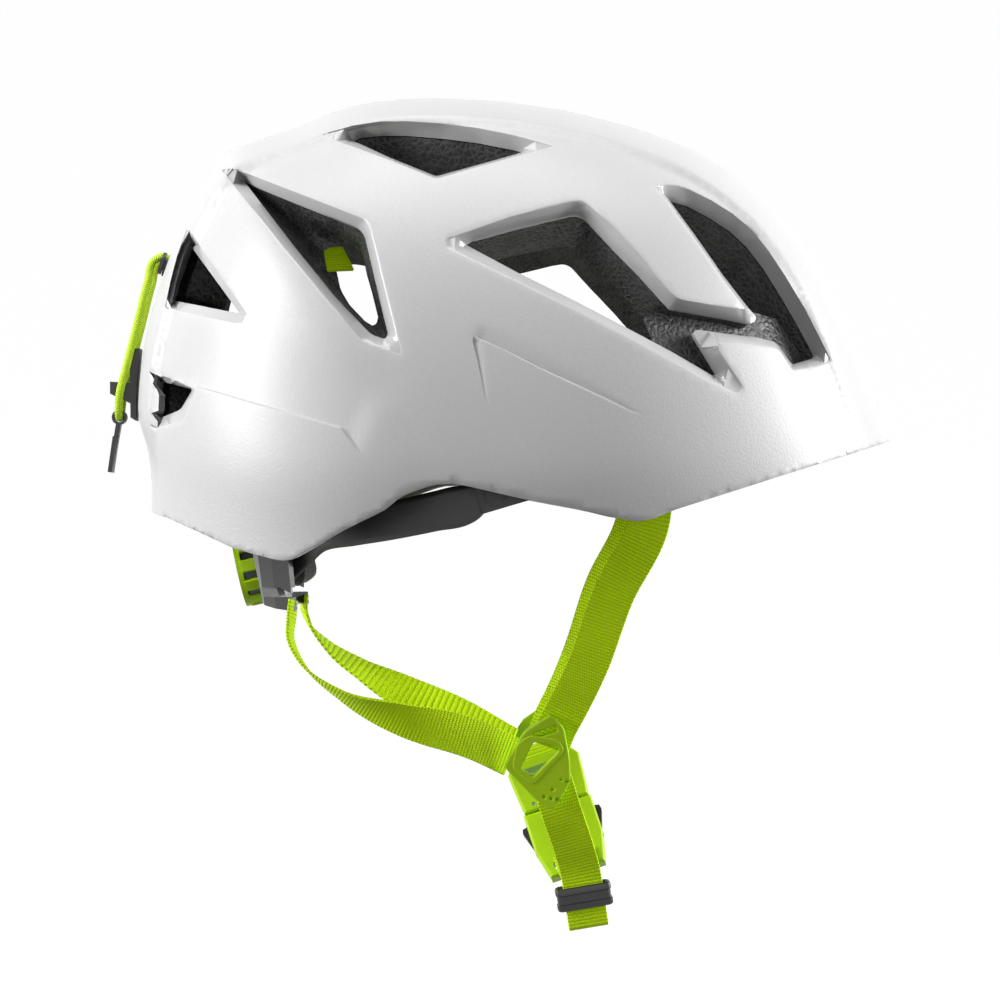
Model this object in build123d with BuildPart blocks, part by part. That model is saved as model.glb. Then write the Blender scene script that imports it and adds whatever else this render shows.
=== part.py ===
from build123d import *
import math
import os

# Climbing helmet: moulded shell on a foam liner, webbing harness with side-release
# buckle, dial-adjusted nape cradle and a rear elastic headlamp loop.
# Frame: +Z up, -Y is the front of the helmet, +X is the wearer's left.
# The origin is the head seat, level with the headband, on the centre plane.

os.makedirs("parts", exist_ok=True)

# ---------------------------------------------------------------- driving dimensions
HALF_WIDTH = 108.0          # half width of the shell at its widest
POLE_Y, POLE_Z = 11.3, -22.6  # the axis along X that every shell section turns about
SQUARENESS = 2.6            # exponent of the shell's cross-section
SHELL_T = 2.6               # moulded shell thickness
FOAM_GAP = 0.3              # clearance between shell and liner
FOAM_DEPTH = 22.0           # depth of the liner's inner face below the outer surface
WEB_W, WEB_T = 15.0, 1.3    # harness webbing
BAND_W, BAND_T = 12.0, 1.6  # headband strip
DIAL_R, DIAL_T = 15.3, 7.8  # adjuster dial
TILT = 12.3                 # nape cradle tilt, degrees
PINION_M, PINION_N = 0.9, 12
PITCH_R = PINION_M * PINION_N / 2
CORD_D = 3.0                # elastic cord
CORD_EXIT, CORD_TILT = (125.6, 88.4), -71.6  # where the cord leaves the shell
STRAP_CLEAR = 0.3

# section angle about the pole (0 = forward, 90 = up, 180 = rearward), radius of the
# centre band, radius of the sides
SECTIONS = [
    (6, 167.1, 167.1), (13, 165.2, 164.8), (22, 164.2, 162.3), (32, 167.6, 165.3),
    (44, 173.1, 171.0), (58, 175.8, 173.6), (74, 173.2, 171.0), (90, 173.5, 171.1),
    (105, 176.3, 173.8), (117, 178.0, 174.8), (127, 170.8, 166.8), (139, 155.2, 151.3),
    (152, 140.6, 136.6), (167, 124.0, 123.7), (185, 120.5, 120.6)]
# lower edge of the shell in side view (Y, Z), rear to front
RIM = [
    (131.1, -4.4), (95.9, -17.2), (84.7, -20.1), (79.5, -21.3), (74.4, -21.3), (67.1, -17.7),
    (54.6, -10.6), (40.4, -3.5), (35.1, 0.8), (25.0, 4.7), (19.4, 5.5), (12.7, 5.0),
    (-8.6, 0.2), (-32.1, -4.2), (-43.4, -6.8), (-47.9, -7.6), (-54.6, -6.5), (-61.5, -3.7),
    (-81.6, 2.7), (-101.1, 8.8), (-132.4, 18.3), (-147.2, 22.3)]
# vent outlines on the wearer's right side, as points on the outer surface
VENTS = {
    "crown": [(-45.5, 55.1, 132.5), (-45.1, 50.1, 134.1), (-47.3, 38.1, 134.6),
              (-49.5, 24.1, 133.9), (-51.8, 10.1, 132.0), (-54.4, -3.8, 128.9),
              (-56.2, -9.4, 126.8), (-70.2, 23.8, 116.2)],
    "side": [(-87.7, 12.5, 90.5), (-83.0, -4.8, 97.2), (-77.0, -25.3, 102.3),
             (-76.3, -28.9, 102.2), (-77.7, -32.6, 99.1), (-81.4, -41.2, 90.2),
             (-85.2, -51.3, 77.6), (-86.2, -59.2, 68.4), (-79.1, -76.3, 65.9),
             (-69.9, -91.5, 64.1), (-69.5, -93.6, 61.2), (-70.0, -94.5, 58.1),
             (-78.0, -82.3, 59.5), (-84.4, -69.7, 60.6), (-85.4, -69.0, 58.7),
             (-85.8, -76.3, 44.3), (-93.0, -48.1, 59.5), (-91.4, -5.8, 80.9)],
    "front": [(-58.5, -60.6, 110.2), (-56.5, -67.5, 108.2), (-54.4, -78.1, 102.9),
              (-51.7, -88.0, 96.8), (-51.9, -95.7, 87.8), (-52.5, -102.6, 77.3),
              (-51.3, -109.7, 66.2), (-51.4, -115.2, 53.2), (-64.5, -105.2, 48.3),
              (-64.8, -103.1, 52.5), (-66.1, -99.6, 57.2), (-70.0, -94.5, 58.1),
              (-69.9, -91.5, 64.1), (-68.7, -92.5, 65.1), (-68.7, -91.1, 67.5),
              (-69.3, -84.2, 76.4), (-65.6, -70.6, 95.9)],
    "rear_upper": [(-43.8, 94.0, 117.2), (-81.0, 50.4, 97.6), (-82.8, 48.5, 95.2),
                   (-99.0, 39.5, 58.2), (-99.2, 41.2, 56.8), (-98.2, 45.7, 58.6),
                   (-92.0, 58.6, 72.0)],
    "rear_middle": [(-38.3, 114.3, 94.0), (-75.5, 93.5, 66.9), (-36.9, 121.1, 73.8),
                    (-36.7, 119.1, 85.1)],
    "rear_lower": [(-38.0, 125.3, 44.2), (-64.6, 110.9, 40.2), (-59.3, 115.4, 33.0),
                   (-39.5, 125.4, 29.7)],
}


def smooth(t):
    t = max(0.0, min(1.0, t))
    return t * t * (3 - 2 * t)


def dome_point(section, beta, depth=0.0):
    """(x, radius) of the outer surface at one section, moved inward by depth."""
    angle, r_band, r_side = section

    def raw(b):
        q = math.sin(b)
        lat = HALF_WIDTH * max(0.0, 1 - abs(q) ** SQUARENESS) ** (1 / SQUARENESS)
        s = r_side + (r_band - r_side) * smooth((56 - lat) / 24)
        f = -POLE_Y + s * q * math.cos(math.radians(angle))
        z = POLE_Z + s * q * math.sin(math.radians(angle))
        taper = 1 - 0.06 * smooth((22 - z) / 60)
        taper *= 1 - 0.05 * smooth((f - 10) / 130) - 0.03 * smooth((-f - 40) / 100)
        return lat * taper * (1 if math.cos(b) >= 0 else -1), s * q
    x, r = raw(beta)
    if depth:
        (x0, r0), (x1, r1) = raw(beta - 0.01), raw(beta + 0.01)
        tx, tr = x1 - x0, r1 - r0
        n = math.hypot(tx, tr)
        x, r = x - depth * tr / n, r + depth * tx / n
    return x, r


def section_plane(angle):
    a = math.radians(angle)
    return Plane(origin=(0, POLE_Y, POLE_Z), x_dir=(1, 0, 0),
                 z_dir=(0, -math.sin(a), -math.cos(a)))


def dome(top, bottom, sections=SECTIONS, first=5.0, last=175.0):
    """Closed dome between two depths below the outer surface."""
    betas = [math.radians(first + (last - first) * i / 14) for i in range(15)]
    with BuildPart() as blank:
        for s in sections:
            with BuildSketch(section_plane(s[0])):
                with BuildLine():
                    over = Spline(*[dome_point(s, b, top) for b in betas])
                    under = Spline(*[dome_point(s, b, bottom) for b in betas])
                    Line(over @ 0, under @ 0)
                    Line(over @ 1, under @ 1)
                make_face()
        loft()
    return blank.part


def surface_at(angle, beta, depth):
    """World point below the outer surface; angle and beta in degrees."""
    i = 0
    while i < len(SECTIONS) - 2 and SECTIONS[i + 1][0] < angle:
        i += 1
    a, b = SECTIONS[i], SECTIONS[i + 1]
    t = (angle - a[0]) / (b[0] - a[0])
    mix = (angle, a[1] + (b[1] - a[1]) * t, a[2] + (b[2] - a[2]) * t)
    x, r = dome_point(mix, math.radians(beta), depth)
    return Vector(x, POLE_Y - r * math.cos(math.radians(angle)),
                  POLE_Z + r * math.sin(math.radians(angle)))


def rim_region(lift):
    """Side view region kept above the lower edge, as (Y, Z) corners."""
    pts = [(y, z + lift) for y, z in RIM]
    return [(175, 175), (175, pts[0][1] + 3), *pts, (-175, pts[-1][1] + 7), (-175, 175)]


def vent_plane(points, side):
    pts = [Vector(side * p[0], p[1], p[2]) for p in points]
    centre = sum(pts, Vector(0, 0, 0)) / len(pts)
    normal = Vector(0, 0, 0)
    for p, q in zip(pts, pts[1:] + pts[:1]):
        normal += (p - centre).cross(q - centre)
    normal = normal.normalized()
    if normal.dot(centre - Vector(0, POLE_Y, POLE_Z)) < 0:
        normal = normal * -1
    plane = Plane(origin=centre, z_dir=normal)
    flat = [plane.to_local_coords(p) for p in pts]
    return plane, [(p.X, p.Y) for p in flat]


def strip(path, width, thick, width_end=None):
    """Webbing or band: rectangles on a path of (point, width direction), ruled."""
    n = len(path)
    with BuildPart() as band:
        for i, (p, w) in enumerate(path):
            p = Vector(*p)
            a = Vector(*path[max(i - 1, 0)][0])
            b = Vector(*path[min(i + 1, n - 1)][0])
            along = (b - a).normalized()
            w = Vector(*w)
            across = (w - along * w.dot(along)).normalized()
            wi = width if width_end is None else width + (width_end - width) * i / (n - 1)
            with BuildSketch(Plane(origin=p, x_dir=across, z_dir=along)):
                Rectangle(wi, thick)
        loft(ruled=True)
    return band.part


def save(part, name):
    part.label = name
    export_step(part, f"parts/{name}.step")


# ------------------------------------------------------------------ cradle frame
CRADLE = Vector(0, 90.7, -23.7)
ct, st = math.cos(math.radians(TILT)), math.sin(math.radians(TILT))
NV, UV = Vector(0, ct, -st), Vector(0, st, ct)


def cradle(t):
    """Plane across the dial axis, t mm rearward of the housing's rear face."""
    return Plane(origin=CRADLE + NV * t, x_dir=(-1, 0, 0), z_dir=NV)


def cr(x, t, u):
    v = CRADLE + NV * t + UV * u
    return (x, v.Y, v.Z)


# ------------------------------------------------------------------ shell and liner
vent_cuts = []
for side in (1, -1):
    for outline in VENTS.values():
        vent_cuts.append(vent_plane(outline, side))

with BuildPart() as outer_shell:
    add(dome(0.0, SHELL_T))
    with BuildSketch(Plane.YZ):
        with BuildLine():
            Polyline(*rim_region(0.0), close=True)
        make_face()
    extrude(amount=130, both=True, mode=Mode.INTERSECT)
    for plane, outline in vent_cuts:
        with BuildSketch(plane):
            with BuildLine():
                Polyline(*outline, close=True)
            make_face()
        extrude(amount=16, both=True, mode=Mode.SUBTRACT)
    # cord holes at the rear
    with Locations(*[Pos(s * 9, *CORD_EXIT) * Rot(CORD_TILT, 0, 0) for s in (1, -1)]):
        Cylinder(2.9, 30, mode=Mode.SUBTRACT)
save(outer_shell.part, "outer_shell")

with BuildPart() as foam_liner:
    add(dome(SHELL_T + FOAM_GAP, FOAM_DEPTH))
    with BuildSketch(Plane.YZ):
        with BuildLine():
            Polyline(*rim_region(3.0), close=True)
        make_face()
    extrude(amount=130, both=True, mode=Mode.INTERSECT)
    # the liner stops short of the brim tip
    with BuildSketch(Plane.YZ):
        with BuildLine():
            Polyline((-175, -60), (-120, -60), (-134, 24), (-139, 44), (-175, 60), close=True)
        make_face()
    extrude(amount=130, both=True, mode=Mode.SUBTRACT)
    for plane, outline in vent_cuts:
        with BuildSketch(plane):
            with BuildLine():
                Polyline(*outline, close=True)
            make_face()
        extrude(amount=9, mode=Mode.SUBTRACT)
        with BuildSketch(plane):
            with BuildLine():
                Polyline(*outline, close=True)
            make_face()
        extrude(amount=-42, mode=Mode.SUBTRACT)
    with Locations(*[Pos(s * 9, *CORD_EXIT) * Rot(CORD_TILT, 0, 0) for s in (1, -1)]):
        Cylinder(3.1, 24, mode=Mode.SUBTRACT)
    # relief over the adjuster dial, for its whole travel
    with BuildSketch(cradle(-3)):
        Circle(DIAL_R + 2.4)
    extrude(amount=34, mode=Mode.SUBTRACT)
save(foam_liner.part, "foam_liner")

# ------------------------------------------------------------------ comfort pads
with BuildPart() as crown_pad:
    add(dome(FOAM_DEPTH + 1.0, FOAM_DEPTH + 5.4, [s for s in SECTIONS if 58 <= s[0] <= 105],
             72, 108))
save(crown_pad.part, "crown_pad")

band_path = [(-79.5, 8, 1.2), (-80, -15, 8), (-76.5, -42, 11.5), (-66, -67, 13), (-47, -85, 14.5),
             (-24, -94, 15), (0, -96.5, 15), (24, -94, 15), (47, -85, 14.5), (66, -67, 13),
             (76.5, -42, 11.5), (80, -15, 8), (79.5, 8, 1.2)]
headband = strip([(p, (0, 0, 1)) for p in band_path], 13.0, BAND_T)
with BuildPart() as headband_front:
    add(headband)
    for side in (1, -1):
        with Locations(Pos(side * 79.6, 2, 1) * Rot(0, 90, 0)):
            Cylinder(1.7, 12, mode=Mode.SUBTRACT)
save(headband_front.part, "headband_front")

pad_path = [(-62.5, -64, 14.5), (-44.5, -80.5, 16.5), (-22.7, -89.2, 18), (0, -91.6, 18.5),
            (22.7, -89.2, 18), (44.5, -80.5, 16.5), (62.5, -64, 14.5)]
brow_pad = strip([(p, (0, 0, 1)) for p in pad_path], 20.0, 6.0)
save(brow_pad, "brow_pad")

# ------------------------------------------------------------------ nape cradle
RACK_LINE = PITCH_R + 0.15
with BuildPart() as nape_housing:
    with BuildSketch(cradle(-8.5)):
        with Locations((0, -1)):
            RectangleRounded(60, 26, 6)
    extrude(amount=8.5)
    fillet(nape_housing.faces().sort_by(Axis((0, 90.7, -23.7), (0, ct, -st)))[-1].edges(), 1.2)
    with BuildSketch(cradle(-8.6)):
        with Locations((0, -1)):
            RectangleRounded(55, 21.6, 4)
    extrude(amount=1.8, mode=Mode.SUBTRACT)
    # rack channels: the left rack runs above the pinion, the right one below it
    with BuildSketch(cradle(-7.0)):
        with Locations((-1.25, 6.9)):
            Rectangle(59.5, 5.6)
        with Locations((1.25, -6.9)):
            Rectangle(59.5, 5.6)
        Circle(PITCH_R + 1.4)
    extrude(amount=4.6, mode=Mode.SUBTRACT)
    with BuildSketch(cradle(-3)):
        Circle(2.7)
    extrude(amount=4, mode=Mode.SUBTRACT)
    with BuildSketch(cradle(-1.0)):
        Circle(11.6)
        Circle(7.4, mode=Mode.SUBTRACT)
    extrude(amount=2, mode=Mode.SUBTRACT)
    with BuildSketch(cradle(-7)):
        with GridLocations(48, 0, 2, 1):
            Circle(0.85)
    extrude(amount=4.5, mode=Mode.SUBTRACT)
save(nape_housing.part, "nape_housing")

with BuildPart() as nape_cover:
    with BuildSketch(cradle(-8.5)):
        with Locations((0, -1)):
            RectangleRounded(54.6, 21.2, 3.8)
        with GridLocations(48, 0, 2, 1):
            Circle(0.95, mode=Mode.SUBTRACT)
    extrude(amount=1.6)
    with BuildSketch(cradle(-8.6)):
        with GridLocations(48, 0, 2, 1):
            Circle(1.9)
    extrude(amount=1.0, mode=Mode.SUBTRACT)
save(nape_cover.part, "nape_cover")

with BuildPart() as cover_screws:
    with BuildSketch(cradle(-8.5)):
        with GridLocations(48, 0, 2, 1):
            Circle(1.75)
    extrude(amount=0.85)
    with BuildSketch(cradle(-7.7)):
        with GridLocations(48, 0, 2, 1):
            Circle(0.78)
    extrude(amount=4.6)
save(cover_screws.part, "cover_screws")


def involute_tooth(n, module, thin, tip, root):
    """Outline of one spur tooth as (radius, angle) pairs, centred on angle 0."""
    rp = n * module / 2
    rb = rp * math.cos(math.radians(20))
    half = math.pi / (2 * n) - thin / (2 * rp)
    inv_p = math.tan(math.radians(20)) - math.radians(20)
    pts = []
    for i in range(5):
        r = max(rb, root) + (tip - max(rb, root)) * i / 4
        phi = math.acos(min(1, rb / r))
        pts.append((r, half + inv_p - (math.tan(phi) - phi)))
    if root < rb:
        pts.insert(0, (root, pts[0][1] * 1.05))
    return pts


PIN_TIP, PIN_ROOT = PITCH_R + 0.55, PITCH_R - 0.95
with BuildPart() as pinion:
    with BuildSketch(cradle(-6.4)):
        with BuildLine():
            outline = []
            tooth = involute_tooth(PINION_N, PINION_M, 0.30, PIN_TIP, PIN_ROOT)
            for k in range(PINION_N):
                mid = math.pi / 2 - 2 * math.pi * k / PINION_N
                outline += [(r * math.cos(mid + a), r * math.sin(mid + a)) for r, a in tooth]
                outline += [(r * math.cos(mid - a), r * math.sin(mid - a))
                            for r, a in reversed(tooth)]
            Polyline(*outline, close=True)
        make_face()
    extrude(amount=3.4)
    with BuildSketch(cradle(-3.0)):
        Circle(2.5)
    extrude(amount=3.2)
    with BuildSketch(cradle(0.2)):
        Rectangle(3.4, 3.4)
    extrude(amount=2.6)
    with BuildSketch(cradle(-6.0)):
        Circle(0.85)
    extrude(amount=9, mode=Mode.SUBTRACT)
save(pinion.part, "pinion")

PITCH = math.pi * PINION_M


def rack(side):
    """Toothed strip; side +1 is the wearer's left, above the pinion."""
    tip, root = RACK_LINE - 0.5, RACK_LINE + 0.75
    x0, x1, x2 = -15.0, 12.0, 24.5
    flank = math.tan(math.radians(20))
    half = PITCH / 4 - 0.05
    pts = [(x0, root)]
    k = math.ceil((x0 + 1.2) / PITCH - 0.5)
    while (k + 0.5) * PITCH < x1 - 1.2:
        c = (k + 0.5) * PITCH
        pts += [(c - half - flank * (root - RACK_LINE), root), (c - half + flank * 0.5, tip),
                (c + half - flank * 0.5, tip), (c + half + flank * (root - RACK_LINE), root)]
        k += 1
    pts += [(x2, root), (x2, 9.2), (x0, 9.2)]
    with BuildPart() as strip_rack:
        with BuildSketch(cradle(-5.9)):
            with BuildLine():
                Polyline(*[(-side * x, side * u) for x, u in pts], close=True)
            make_face()
        extrude(amount=2.4)
    return strip_rack.part


rack_left = rack(1)
rack_right = rack(-1)
save(rack_left, "rack_left")
save(rack_right, "rack_right")

LUGS = 12
with BuildPart() as dial_core:
    with BuildSketch(cradle(0.45)):
        Circle(13.2)
    extrude(amount=5.45)
    with BuildSketch(cradle(0.35)):
        Rectangle(3.5, 3.5)
    extrude(amount=2.5, mode=Mode.SUBTRACT)
    with BuildSketch(cradle(0.35)):
        Circle(1.1)
    extrude(amount=6, mode=Mode.SUBTRACT)
    with BuildSketch(cradle(4.2)):
        Circle(2.3)
    extrude(amount=2, mode=Mode.SUBTRACT)
    # ratchet notches under the dial
    with BuildSketch(cradle(0.35)):
        with PolarLocations(9.5, 24):
            Rectangle(3.4, 0.9)
    extrude(amount=0.5, mode=Mode.SUBTRACT)
    # dark ribs between the grip lugs
    with BuildSketch(cradle(0.6)):
        with PolarLocations(13.3, LUGS, start_angle=15):
            Rectangle(2.0, 2.6)
    extrude(amount=4.8)
save(dial_core.part, "dial_core")

with BuildPart() as dial_grip:
    with BuildSketch(cradle(5.95)):
        Circle(DIAL_R - 0.3)
    extrude(amount=DIAL_T + 0.2 - 5.95)
    with BuildSketch(cradle(0.9)):
        with PolarLocations(14.3, LUGS):
            RectangleRounded(2.0, 4.7, 0.6)
        Circle(13.25, mode=Mode.SUBTRACT)
    extrude(amount=5.2)
    with BuildSketch(cradle(5.9)):
        Circle(2.6)
    extrude(amount=3, mode=Mode.SUBTRACT)
    # shallow dish in the rear face
    with BuildSketch(cradle(7.4)):
        Circle(10.5)
    extrude(amount=1, mode=Mode.SUBTRACT)
save(dial_grip.part, "dial_grip")

with BuildPart() as dial_screw:
    with BuildSketch(cradle(4.25)):
        Circle(2.1)
    extrude(amount=1.6)
    with BuildSketch(cradle(-5.6)):
        Circle(0.8)
    extrude(amount=9.9)
    with BuildSketch(cradle(5.3)):
        RegularPolygon(0.9, 6)
    extrude(amount=1, mode=Mode.SUBTRACT)
save(dial_screw.part, "dial_screw")

with BuildPart() as detent_spring:
    with BuildSketch(cradle(-0.95)):
        Circle(11.2)
        Circle(8.0, mode=Mode.SUBTRACT)
    extrude(amount=0.35)
    with BuildSketch(cradle(-0.62)):
        with PolarLocations(9.6, 2):
            Rectangle(2.2, 0.8)
    extrude(amount=0.8)
save(detent_spring.part, "detent_spring")


def mirrored(points, side):
    return [((side * p[0], p[1], p[2]), (side * w[0], w[1], w[2])) for p, w in points]


WING = [(cr(30.3, -1.5, -1.8), (0, st, ct)), (cr(33, -1.5, -1.8), (0, st, ct)),
        (cr(38, -3.0, -2.5), (0, st, ct)), (cr(43.5, -7.6, -4.0), (0, 0.25, 1)),
        (cr(48, -13.6, -5.5), (0, 0.3, 1))]
for side, name in ((1, "left"), (-1, "right")):
    wing = strip(mirrored(WING, side), 24.0, 2.6, 29.0)
    with BuildPart() as nape_wing:
        add(wing)
        # strap slot near the lower end
        with Locations(Pos(*cr(side * 44.6, -10, -12.5)) * Rot(0, 0, side * -58)):
            Box(30, 3.4, 3.6, mode=Mode.SUBTRACT)
    save(nape_wing.part, f"nape_wing_{name}")

nape_pad = strip([(cr(-41, -18.3, -1), (0, st, ct)), (cr(-30, -13.2, -1), (0, st, ct)),
                  (cr(-12, -11.0, -1), (0, st, ct)), (cr(12, -11.0, -1), (0, st, ct)),
                  (cr(30, -13.2, -1), (0, st, ct)), (cr(41, -18.3, -1), (0, st, ct))],
                 20.0, 3.6)
save(nape_pad, "nape_pad")

for side, name in ((1, "left"), (-1, "right")):
    u0 = 6.9 * side
    arm = [(cr(24.8, -4.7, u0), (0, st, ct)), (cr(32.3, -4.7, u0), (0, st, ct)),
           (cr(38.0, -10.6, u0 * 0.9 + 0.6), (0, st, ct)),
           (cr(45.0, -18.6, u0 * 0.6 + 3), (0, 0.2, 1)), ((54, 65.0, -12.5 + 0.15 * u0), (0, 0.1, 1)),
           ((64.0, 53.0, -10.5), (0, 0.1, 1)),
           ((71.5, 40.0, -7.5), (0, 0.15, 1)), ((76.2, 24.0, -3.6), (0, 0.2, 1)),
           ((77.4, 4.0, 0.6), (0, 0.2, 1))]
    save(strip(mirrored(arm, side), 4.4, BAND_T, BAND_W + 2), f"rear_arm_{name}")

with BuildPart() as headband_pins:
    for side in (1, -1):
        with Locations(Pos(side * 80.0, 2, 1) * Rot(0, 90, 0)):
            Cylinder(1.5, 2.4)
        with Locations(Pos(side * 82.0, 2, 1) * Rot(0, 90, 0)):
            Cylinder(3.2, 1.6)
save(headband_pins.part, "headband_pins")

# ------------------------------------------------------------------ harness webbing
RIGHT_DIV = Vector(-36, -14.7, -97.6)
LEAN = 14.0
cl, sl = math.cos(math.radians(LEAN)), math.sin(math.radians(LEAN))


def divider_plane(side, t=0.0):
    """Local x is forward, local y is up the plate, z points outward."""
    normal = Vector(side * cl, 0, -sl)
    origin = Vector(-side * RIGHT_DIV.X, RIGHT_DIV.Y, RIGHT_DIV.Z) + normal * t
    return Plane(origin=origin, x_dir=(0, side, 0), z_dir=normal)


DIV_OUT = [(-5.7, 13.1), (4.1, 19.8), (8.7, 14.8), (9.5, 11.0), (10.9, 2.9), (11.4, -5.8),
           (5.8, -16.3), (3.6, -16.9), (-1.5, -13.4), (-12.2, -1.7), (-13.1, 0.0),
           (-7.1, 11.0)]
DIV_WINDOW = [(-2.4, 9.3), (6.4, 7.6), (7.0, 5.8), (-2.6, -4.4), (-7.1, -1.1)]
DIV_SLOT = [(-2.6, 12.4), (5.7, 15.6), (6.6, 13.2), (-1.7, 10.6)]
for side, name in ((1, "left"), (-1, "right")):
    with BuildPart() as divider:
        with BuildSketch(divider_plane(side, -1.3)):
            with BuildLine():
                Polyline(*[(side * -x, y) for x, y in DIV_OUT], close=True)
            make_face()
            with BuildLine():
                Polyline(*[(side * -x, y) for x, y in DIV_WINDOW], close=True)
            make_face(mode=Mode.SUBTRACT)
            with BuildLine():
                Polyline(*[(side * -x, y) for x, y in DIV_SLOT], close=True)
            make_face(mode=Mode.SUBTRACT)
        extrude(amount=2.6)
        with BuildSketch(divider_plane(side, 0.9)):
            with Locations(*[(side * -x, y) for x, y in
                             ((8.1, -5.2), (10.0, -5.8), (4.8, -9.0), (9.0, -9.6),
                              (1.5, -12.0), (4.2, -12.6), (6.6, -13.0))]):
                Circle(0.6)
        extrude(amount=0.6, mode=Mode.SUBTRACT)
    save(divider.part, f"divider_{name}")

FRONT = [((-75.4, -54.5, 5), (0, 1, 0.15)), ((-76.0, -53.5, -7), (0, 1, 0.2)),
         ((-67.5, -41.0, -34.0), (0, 0.93, 0.35)), ((-54.0, -32.0, -60.0), (0, 0.94, 0.3)),
         ((-40.3, -24.6, -76.5), (0, 0.95, 0.3)), ((-36.0, -20.5, -84.5), (0, 0.95, 0.3)),
         ((-34.2, -18.0, -91.0), (0, 0.95, 0.3))]
# rear strap: from the nape wing down and forward to the divider
REAR = [((-46.5, 76.2, -42.4), (0.25, 1, 0.2)), ((-48.0, 76.6, -50.0), (0.5, 0.9, 0.2)),
        ((-50.5, 71.5, -60.5), (0.35, 0.75, 0.6)), ((-51.5, 58.0, -71.0), (0.25, 0.45, 0.9)),
        ((-48.0, 36.0, -80.0), (0.15, 0.3, 1)), ((-40.0, 12.0, -87.0), (0.1, 0.25, 1)),
        ((-31.0, -4.0, -94.8), (0.2, 0.3, 1))]
# the left one hangs tighter than the right one
REAR_LEFT = [REAR[0], ((-48.5, 74.5, -48.0), (0.5, 0.9, 0.2)),
             ((-51.0, 66.5, -57.5), (0.35, 0.6, 0.75)), ((-51.0, 54.0, -66.0), (0.25, 0.45, 0.9)),
             ((-48.0, 36.0, -75.5), (0.15, 0.3, 1)), ((-40.0, 12.0, -86.0), (0.1, 0.25, 1)), REAR[-1]]
for side, name, rear in ((1, "left", REAR_LEFT), (-1, "right", REAR)):
    save(strip(mirrored(FRONT, -side), WEB_W, WEB_T), f"front_strap_{name}")
    save(strip(mirrored(rear, -side), 12.0, WEB_T, WEB_W), f"rear_strap_{name}")

# crown strap inside the liner
crown_path = []
for b in range(60, 121, 10):
    p = surface_at(114, b, FOAM_DEPTH + 4.2)
    crown_path.append(((p.X, p.Y, p.Z), (0, 1, 0.35)))
save(strip(crown_path, 12.0, 1.2), "crown_strap")

# ------------------------------------------------------------------ buckle
BUCKLE_C = Vector(4.0, -22.7, -119.0)
AXIS_UP = Vector(18, 14, 41.7).normalized()
WIDE = Vector(0, -0.956, 0.292)
WIDE = (WIDE - AXIS_UP * WIDE.dot(AXIS_UP)).normalized()
THRU = WIDE.cross(AXIS_UP).normalized()


def buckle(t=0.0):
    """Local x across the buckle, local y up its axis."""
    return Plane(origin=BUCKLE_C + THRU * t, x_dir=WIDE, z_dir=THRU)


def bk(a, b, c):
    v = BUCKLE_C + WIDE * a + AXIS_UP * b + THRU * c
    return (v.X, v.Y, v.Z)


with BuildPart() as buckle_male:
    with BuildSketch(buckle(-4.0)):
        with BuildLine():
            Polyline((-12.6, 3.3), (12.6, 3.3), (13.2, 8), (14.2, 20), (11.5, 23.8),
                     (-11.5, 23.8), (-14.2, 20), (-13.2, 8), close=True)
        make_face()
    extrude(amount=8.0)
    fillet(buckle_male.faces().filter_by(lambda f: abs(f.normal_at().dot(THRU)) > 0.99).edges(),
           1.2)
    # webbing bar slot and prong pocket
    with BuildSketch(buckle(-5)):
        with Locations((0, 18.5)):
            RectangleRounded(18.0, 3.6, 1.2)
        with Locations((0, 12.6)):
            RectangleRounded(18.0, 3.4, 1.2)
    extrude(amount=10, mode=Mode.SUBTRACT)
    with BuildSketch(buckle(-2.1)):
        with GridLocations(16.4, 0, 2, 1):
            with Locations((0, 5.6)):
                Rectangle(6.4, 5.2)
    extrude(amount=4.2, mode=Mode.SUBTRACT)
    with BuildSketch(buckle(-5)):
        with Locations((8.2, 6.0), (-8.2, 6.0)):
            Circle(0.75)
    extrude(amount=10, mode=Mode.SUBTRACT)
    # centre guide
    with BuildSketch(buckle(-1.4)):
        with Locations((0, -3.4)):
            Rectangle(2.4, 13.6)
    extrude(amount=2.8)
save(buckle_male.part, "buckle_male")

with BuildPart() as prong_pins:
    with BuildSketch(buckle(-3.4)):
        with Locations((8.2, 6.0), (-8.2, 6.0)):
            Circle(0.7)
    extrude(amount=6.8)
save(prong_pins.part, "prong_pins")

with BuildPart() as buckle_female:
    with BuildSketch(buckle(-4.0)):
        with BuildLine():
            Polyline((-13.4, 2.9), (13.4, 2.9), (13.4, -12), (10.6, -23.8), (-10.6, -23.8),
                     (-13.4, -12), close=True)
        make_face()
    extrude(amount=8.0)
    fillet(buckle_female.faces().filter_by(lambda f: abs(f.normal_at().dot(THRU)) > 0.99).edges(),
           1.2)
    with BuildSketch(buckle(-2.2)):
        with Locations((0, -5.8)):
            Rectangle(22.4, 18.2)
    extrude(amount=4.4, mode=Mode.SUBTRACT)
    # side windows for the prongs
    with BuildSketch(buckle(-2.2)):
        with Locations((0, -6.8)):
            Rectangle(34, 13.6)
    extrude(amount=4.4, mode=Mode.SUBTRACT)
    with BuildSketch(buckle(-5)):
        with Locations((0, -19.6)):
            RectangleRounded(16.6, 3.4, 1.2)
    extrude(amount=10, mode=Mode.SUBTRACT)
save(buckle_female.part, "buckle_female")

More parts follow.
